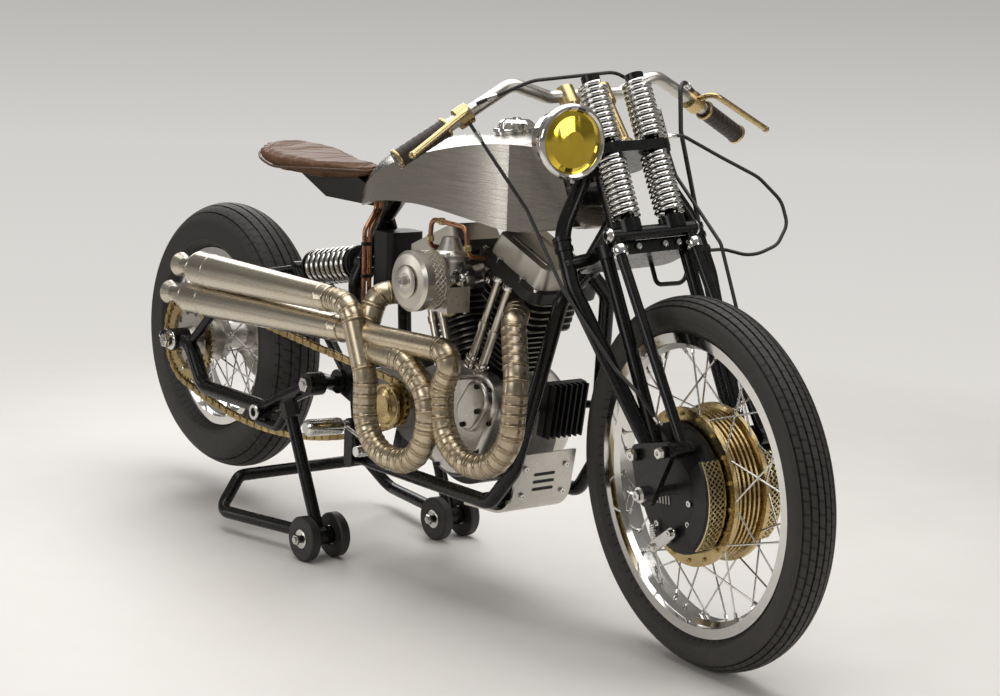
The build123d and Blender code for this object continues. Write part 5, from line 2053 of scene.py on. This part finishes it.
@dataclass
class Chassis:
    """Caps, plates, pegs and stand fittings, in millimetres."""

    filler_at: Triple = (1088.0, 0.0, 962.0)
    skid_low: Triple = (1206.5, 0.0, 232.0)
    skid_face: Triple = (0.985, 0.0, -0.172)
    peg: Span = ((719.0, 142.3, 302.0), (719.0, 252.0, 306.0))
    toe_rings: Places = ((842, 166, 273), (842, 176, 273), (842, 186, 273), (842, 196, 273))
    axle_nut: Triple = (0.0, 186.2, REAR_AXLE_HEIGHT)
    axle_washer: Triple = (0.0, 172.1, REAR_AXLE_HEIGHT)
    adjuster: Triple = (-76.0, 150.0, REAR_AXLE_HEIGHT)
    pivot_nut: Triple = (590.0, 170.0, 372.0)
    stand_axle: Pair = (670.0, 49.0)
    stand_y: float = 178.0
    stand_arm: Span = ((668.0, 178.0, 50.0), (548.0, 184.0, 318.0))
    bobbin: Triple = (430.0, 193.0, 286.0)
    clips: Places = ((692, -84, 690), (692, -84, 620), (692, -84, 560))
    # Copper lines that get a nut: start and end of the stretch.
    line_ends: tuple[Span, ...] = (
        ((992, -134, 776), (1108, -134, 770)), ((986, -134, 720), (992, -134, 776)),
        ((1112, -132, 712), (1108, -134, 770)),
    )

    def build(self) -> None:
        """Make every piece of trim on the chassis."""
        self.filler()
        self.skid_plate()
        self.pegs()
        self.axle_nuts()
        self.stand()
        self.pipe_clips()

    def filler(self) -> None:
        """Ring the filler cap and give it a grip."""
        place = stand_on(at(*self.filler_at), UP)
        ring = Bench.lathe([(41.5, -6), (46, -6), (47, -3), (46, 1), (42.2, 2), (41.5, -6)], 48)
        Bench.fit(ring, [place], "filler_ring", CHROME)
        count = 14
        out = Matrix.Translation((0.0352, 0, 0.0085))
        turns = [Matrix.Rotation(2 * pi * index / count, 4, "Z") for index in range(count)]
        lugs = [place @ turn @ out for turn in turns]
        Bench.fit(Bench.block((3.2, 6, 10), 1.2), lugs, "filler_lugs", CHROME)

    def skid_plate(self) -> None:
        """Bolt the skid plate and lay thin black plates in its slots as painted shade."""
        face = Vector(self.skid_face)
        up = Vector((-face.z, 0, face.x))
        low = at(*self.skid_low) + face * 0.0026
        heads = []
        for y in (-52, 52):
            for rise in (4, 62):
                heads.append(stand_on(low + (up * rise + LEFT * y) * MM, face, up))
        Bench.fit(Bench.cap_screw(6, 4), heads, "skid_bolts", CHROME)
        # Painted shade: thin black plates stand for the shade inside the open slots.
        slots = [stand_on(low + (up * rise - LEFT * 24) * MM, face, LEFT) for rise in (14, 30, 46)]
        Bench.fit(Bench.lozenge(48, 3.2, 0.6, 0.0, 5), slots, "skid_slot_shadows", SATIN_BLACK)

    def pegs(self) -> None:
        """Knurl the foot pegs and toe pegs."""
        places = []
        small = []
        for side in (-1, 1):
            inner, outer = (mirrored(place, side) for place in self.peg)
            for index in range(9):
                places.append(stand_on(inner.lerp(outer, 0.26 + 0.082 * index), outer - inner))
            small += [stand_on(mirrored(place, side), LEFT) for place in self.toe_rings]
        ring = Bench.lathe([(16.6, -2.6), (18.4, -1.8), (18.4, 1.8), (16.6, 2.6)], 20)
        Bench.fit(ring, places, "peg_rings", CHROME, smooth=20.0)
        ring = Bench.lathe([(10.6, -2.4), (12.2, -1.6), (12.2, 1.6), (10.6, 2.4)], 20)
        Bench.fit(ring, small, "toe_rings", CHROME, smooth=20.0)

    def axle_nuts(self) -> None:
        """Fit nuts to the rear axle and the swing arm's pivot, with washers and chain adjusters."""
        nuts = []
        washers = []
        adjusters = []
        for side in (-1, 1):
            nuts.append(stand_on(mirrored(self.axle_nut, side), LEFT * side))
            nuts.append(stand_on(mirrored(self.pivot_nut, side), LEFT * side))
            washers.append(stand_on(mirrored(self.axle_washer, side), LEFT * side))
            adjusters.append(stand_on(mirrored(self.adjuster, side), -AHEAD))
        nut = Bench.lathe([(0, 11), (9, 11), (9, 8), (15, 8), (17, 6), (17, 0), (0, 0)], 6)
        Bench.fit(nut, nuts, "axle_nuts", CHROME, smooth=20.0)
        washer = Bench.lathe([(10.5, 0), (24, 0), (24, 2), (22, 3), (10.5, 3), (10.5, 0)], 40)
        Bench.fit(washer, washers, "axle_washers", CHROME)
        adjuster = Bench.lathe([(0, 14), (5, 14), (5, 6), (10, 6), (10, 0), (0, 0)], 6)
        Bench.fit(adjuster, adjusters, "chain_adjusters", CHROME, smooth=20.0)

    def stand(self) -> None:
        """Fit the stand's hub caps, axle nuts, clamps and bobbin flanges."""
        station, z = self.stand_axle
        nuts = []
        for side, body in ((-1, Body.STAND_RIGHT), (1, Body.STAND_LEFT)):
            hubs = []
            for offset in (-38, 38):
                for face in (-1, 1):
                    y = side * self.stand_y + offset + face * 10.2
                    hubs.append(stand_on(at(station, y, z), LEFT * face))
            disc = Bench.lathe([(8.4, 0), (21, 0), (21, 1.2), (17, 2), (12, 2.4), (8.4, 2.4), (8.4, 0)], 28)
            Bench.fit(disc, hubs, f"{body.value}_hubs", CHROME, body)
            for face in (-1, 1):
                nuts.append(stand_on(at(station, side * self.stand_y + face * 58, z), LEFT * face))
        nut = Bench.lathe([(0, 9), (7, 9), (7, 6), (11, 6), (12, 4), (12, 0), (0, 0)], 6)
        Bench.fit(nut, nuts, "stand_nuts", CHROME, smooth=20.0)
        clamps = []
        for side in (-1, 1):
            foot, top = (mirrored(place, side) for place in self.stand_arm)
            clamps.append(stand_on(foot.lerp(top, 0.97), top - foot))
        cap = Bench.lathe([(0, 24), (14, 24), (20, 18), (20, -14), (17, -18), (14.2, -18)], 6)
        Bench.fit(cap, clamps, "stand_clamps", SATIN_BLACK, smooth=20.0)
        bobbins = [stand_on(mirrored(self.bobbin, side), LEFT * side) for side in (-1, 1)]
        flange = Bench.lathe([(10.4, 6), (17, 6), (18, 9), (17, 11), (10.4, 11), (10.4, 6)], 28)
        Bench.fit(flange, bobbins, "bobbin_flanges", CHROME)

    def pipe_clips(self) -> None:
        """Clip the copper lines together and set nuts on their ends."""
        clips = [stand_on(at(*place), UP, LEFT) for place in self.clips]
        Bench.fit(Bench.block((26, 12, 8), 2.0), clips, "line_clips", SATIN_BLACK)
        nuts = []
        for a, b in self.line_ends:
            start, end = at(*a), at(*b)
            nuts.append(stand_on(start.lerp(end, 0.3), end - start))
        nut = Bench.lathe([(4.9, -6), (8, -6), (8, 3), (6.5, 6), (4.9, 6)], 6)
        Bench.fit(nut, nuts, "line_nuts", BRASS, smooth=20.0)


# Saddle


@dataclass
class Saddle:
    """Leather saddle blown up from the plain pad, with piping round its edge."""

    voxel: float = 0.005
    pressure: float = 4.0
    most: float = 0.006
    shrink: float = 0.003
    rounds: int = 7
    frames: int = 20
    # Station, top and thickness of the pad.
    rows: Places = (
        (190, 892, 20), (260, 872, 26), (340, 856, 30), (450, 846, 30), (560, 850, 26), (640, 862, 20),
    )
    # Station and radius of the tail and the nose.
    ends: Profile = ((322.0, 112.0), (588.0, 28.0))
    cord_r: float = 2.8
    cord_in: float = 1.5
    cord_rise: float = 5.0

    def build(self) -> None:
        """Make the pad and its piping."""
        self.pad()
        self.piping()

    def height(self, station: float) -> Pair:
        """Find the height of the pad.

        Args:
            station: Station along the machine.

        Returns:
            Top and thickness there.
        """
        stations = [row[0] for row in self.rows]
        top = float(np.interp(station, stations, [row[1] for row in self.rows]))
        return top, float(np.interp(station, stations, [row[2] for row in self.rows]))

    def pad(self) -> None:
        """Copy the plain pad, soften it, blow it up a little and cap how far it moves."""
        source = frame["nodes"]["seat"]
        pad = source.copy()
        pad.data = source.data.copy()
        pad.parent = None
        pad.matrix_world = source.matrix_world.copy()
        bpy.context.collection.objects.link(pad)
        pad.data.materials.clear()
        Bench.take(pad)
        bpy.ops.object.transform_apply()
        Bench.edit()
        bpy.ops.mesh.remove_doubles(threshold=1e-5)
        bpy.ops.mesh.normals_make_consistent()
        Bench.done()
        Bench.modify(pad, "DISPLACE", strength=-self.shrink, mid_level=0.0)
        Bench.modify(pad, "REMESH", mode="VOXEL", voxel_size=self.voxel)
        Bench.modify(pad, "SMOOTH", factor=0.5, iterations=self.rounds)
        self.blow(pad)
        Bench.modify(pad, "SUBSURF", levels=1, render_levels=1)
        Bench.hand_over(pad, "saddle_pad", LEATHER, smooth=60.0, replaces=("seat",))

    def blow(self, pad: Piece) -> None:
        """Run the cloth for a few frames and hold each point near where it was.

        Args:
            pad: Softened pad.
        """
        rest = np.empty(len(pad.data.vertices) * 3)
        pad.data.vertices.foreach_get("co", rest)
        cloth = pad.modifiers.new("blow", "CLOTH")
        cloth.settings.quality = 5
        cloth.settings.use_pressure = True
        cloth.settings.uniform_pressure_force = self.pressure
        cloth.settings.effector_weights.gravity = 0.0
        cloth.settings.tension_stiffness = 20.0
        cloth.settings.compression_stiffness = 20.0
        cloth.collision_settings.use_collision = False
        scene = bpy.context.scene
        for number in range(1, self.frames + 1):
            scene.frame_set(number)
        bpy.ops.object.modifier_apply(modifier=cloth.name)
        scene.frame_set(1)
        moved = np.empty_like(rest)
        pad.data.vertices.foreach_get("co", moved)
        step = (moved - rest).reshape(-1, 3)
        length = np.linalg.norm(step, axis=1, keepdims=True)
        step *= np.minimum(1.0, self.most / np.maximum(length, 1e-9))
        pad.data.vertices.foreach_set("co", (rest.reshape(-1, 3) + step).ravel())
        pad.data.update()

    def piping(self) -> None:
        """Run a cord of leather round the pad's edge."""
        (rear, rear_r), (nose, nose_r) = self.ends
        lean = degrees(acos((rear_r - nose_r) / (nose - rear)))
        turns = [(rear, rear_r, lean + (360 - 2 * lean) * index / 40) for index in range(41)]
        turns += [(nose, nose_r, -lean + 2 * lean * index / 16) for index in range(17)]
        line = []
        for centre, radius, turn in turns:
            station = centre + (radius - self.cord_in) * cos(radians(turn))
            y = (radius - self.cord_in) * sin(radians(turn))
            top, thick = self.height(station)
            line.append(at(station, y, top - thick + self.cord_rise))
        line.append(line[0].copy())
        cord = Bench.tube(line, self.cord_r, 2)
        Bench.hand_over(cord, "saddle_piping", PIPING, smooth=60.0)


# Stage


@dataclass
class Studio:
    """Floor, light and the photograph's camera."""

    floor_radius: float = 3.4
    fade: Pair = (1.5, 3.2)
    camera_at: Triple = (3.5992, -2.6875, 1.2205)
    looks_along: Triple = (-0.7737, 0.6125, -0.1618)
    roll: float = 1.89
    lens: float = 76.66
    # Backdrop as the camera sees it and room as the metal sees it, from straight down to straight up.
    backdrop: Stops = (
        (0.0, (0.76, 0.735, 0.70)), (0.40, (0.76, 0.74, 0.71)), (0.465, (0.65, 0.635, 0.61)),
        (0.505, (0.45, 0.44, 0.425)), (1.0, (0.36, 0.35, 0.34)),
    )
    room: Stops = (
        (0.0, (0.30, 0.28, 0.26)), (0.46, (0.34, 0.32, 0.30)), (0.52, (0.13, 0.125, 0.12)),
        (0.66, (0.15, 0.145, 0.14)), (1.0, (0.40, 0.39, 0.375)),
    )

    def build(self) -> None:
        """Make the floor, the lights and the camera."""
        self.floor()
        self.sky()
        self.lights()
        self.camera()
        LOG.info("studio ready")

    def floor(self) -> None:
        """Lay a pale round floor that fades into the background."""
        Bench.clear()
        bpy.ops.mesh.primitive_circle_add(
            vertices=96, radius=self.floor_radius, fill_type="NGON", location=(0, 0, -0.0005),
        )
        disc = bpy.context.object
        disc.name = "studio_floor"
        Bench.edit()
        bpy.ops.mesh.inset(thickness=self.floor_radius * 0.5)
        Bench.done()
        bpy.ops.object.transform_apply()
        recipe = Recipe("studio_floor")
        node = recipe.group(
            "patina", Light=(0.86, 0.83, 0.79), Dark=(0.84, 0.81, 0.77), Scale=3.0, Stretch=(1, 1, 1),
            Smooth=0.5, Rough=0.6,
        )
        reach = recipe.node("VectorMath", operation="LENGTH")
        recipe.feed(reach, 0, recipe.node("TexCoord").outputs["Object"])
        fade = recipe.node("MapRange", interpolation_type="SMOOTHSTEP")
        for index, value in enumerate((reach.outputs["Value"], *self.fade, 1.0, 0.0)):
            recipe.feed(fade, index, value)
        recipe.shade(Base_Color=node.outputs["Color"], Roughness=node.outputs["Roughness"])
        recipe.shade(Alpha=fade.outputs[0])
        disc.data.materials.append(recipe.material)

    def sky(self) -> None:
        """Show a pale backdrop to the camera and a dimmer room to the metal."""
        world = bpy.data.worlds.new("studio")
        world.use_nodes = True
        bpy.context.scene.world = world
        maker = TreeMaker(world.node_tree)
        split = maker.node("SeparateXYZ")
        maker.feed(split, 0, maker.node("TexCoord").outputs["Generated"])
        raised = maker.spread(split.outputs[2], -1.0, 1.0, 0.0, 1.0)
        ramps = []
        for stops in (self.room, self.backdrop):
            ramp = maker.node("ValToRGB")
            maker.feed(ramp, 0, raised)
            paint_ramp(ramp, stops)
            ramps.append(ramp.outputs[0])
        to_camera = maker.node("LightPath").outputs["Is Camera Ray"]
        background = maker.tree.nodes["Background"]
        maker.feed(background, "Color", maker.mix(to_camera, *ramps))
        maker.feed(background, "Strength", 1.0)
        bpy.context.scene.view_settings.view_transform = "Standard"

    def lights(self) -> None:
        """Hang soft boxes around the machine."""
        # Name, place, aim, width and height in metres, power in watts.
        boxes = (
            ("overhead", (0.0, 0.2, 3.2), (0.0, 0.0, 0.4), 4.4, 3.0, 96.0),
            ("right_side", (0.6, -4.2, 2.2), (0.1, 0.0, 0.6), 2.6, 1.4, 34.0),
            ("front_fill", (4.6, 1.2, 2.0), (0.6, 0.0, 0.6), 1.2, 2.0, 26.0),
            ("rear_rim", (-3.6, 1.6, 2.4), (-0.3, 0.0, 0.6), 2.0, 1.6, 40.0),
            ("tank_glow", (-2.9, -3.1, 0.9), (0.0, -0.1, 0.85), 0.22, 1.6, 9.0),
        )
        for name, place, aim, width, height, power in boxes:
            data = bpy.data.lights.new(name, "AREA")
            data.shape = "RECTANGLE"
            data.size = width
            data.size_y = height
            data.energy = power
            lamp = bpy.data.objects.new(name, data)
            bpy.context.collection.objects.link(lamp)
            lamp.location = place
            lamp.rotation_euler = (Vector(aim) - Vector(place)).to_track_quat("-Z", "Y").to_euler()

    def camera(self) -> None:
        """Set the camera where the photograph was taken."""
        ahead = Vector(self.looks_along).normalized()
        right = ahead.cross(UP).normalized()
        up = right.cross(ahead)
        turn = radians(self.roll)
        tilted_right = right * cos(turn) + up * sin(turn)
        tilted_up = up * cos(turn) - right * sin(turn)
        data = bpy.data.cameras.new("photo_camera")
        data.sensor_fit = "HORIZONTAL"
        data.sensor_width = 36.0
        data.lens = self.lens
        data.clip_end = 200.0
        camera = bpy.data.objects.new("photo_camera", data)
        bpy.context.collection.objects.link(camera)
        turn_matrix = Matrix((tilted_right, tilted_up, -ahead)).transposed()
        camera.matrix_world = Matrix.Translation(self.camera_at) @ turn_matrix.to_4x4()
        bpy.context.scene.camera = camera


def main() -> None:
    """Dress the machine and set the stage."""
    logging.basicConfig(level=logging.INFO, format="%(message)s")
    dress_nodes()
    build_wheels()
    for maker in (Fork(), Shock(), Chain(), Exhaust(), Engine(), Cockpit(), Chassis(), Saddle()):
        maker.build()
    Studio().build()


if __name__ == "__main__":
    main()
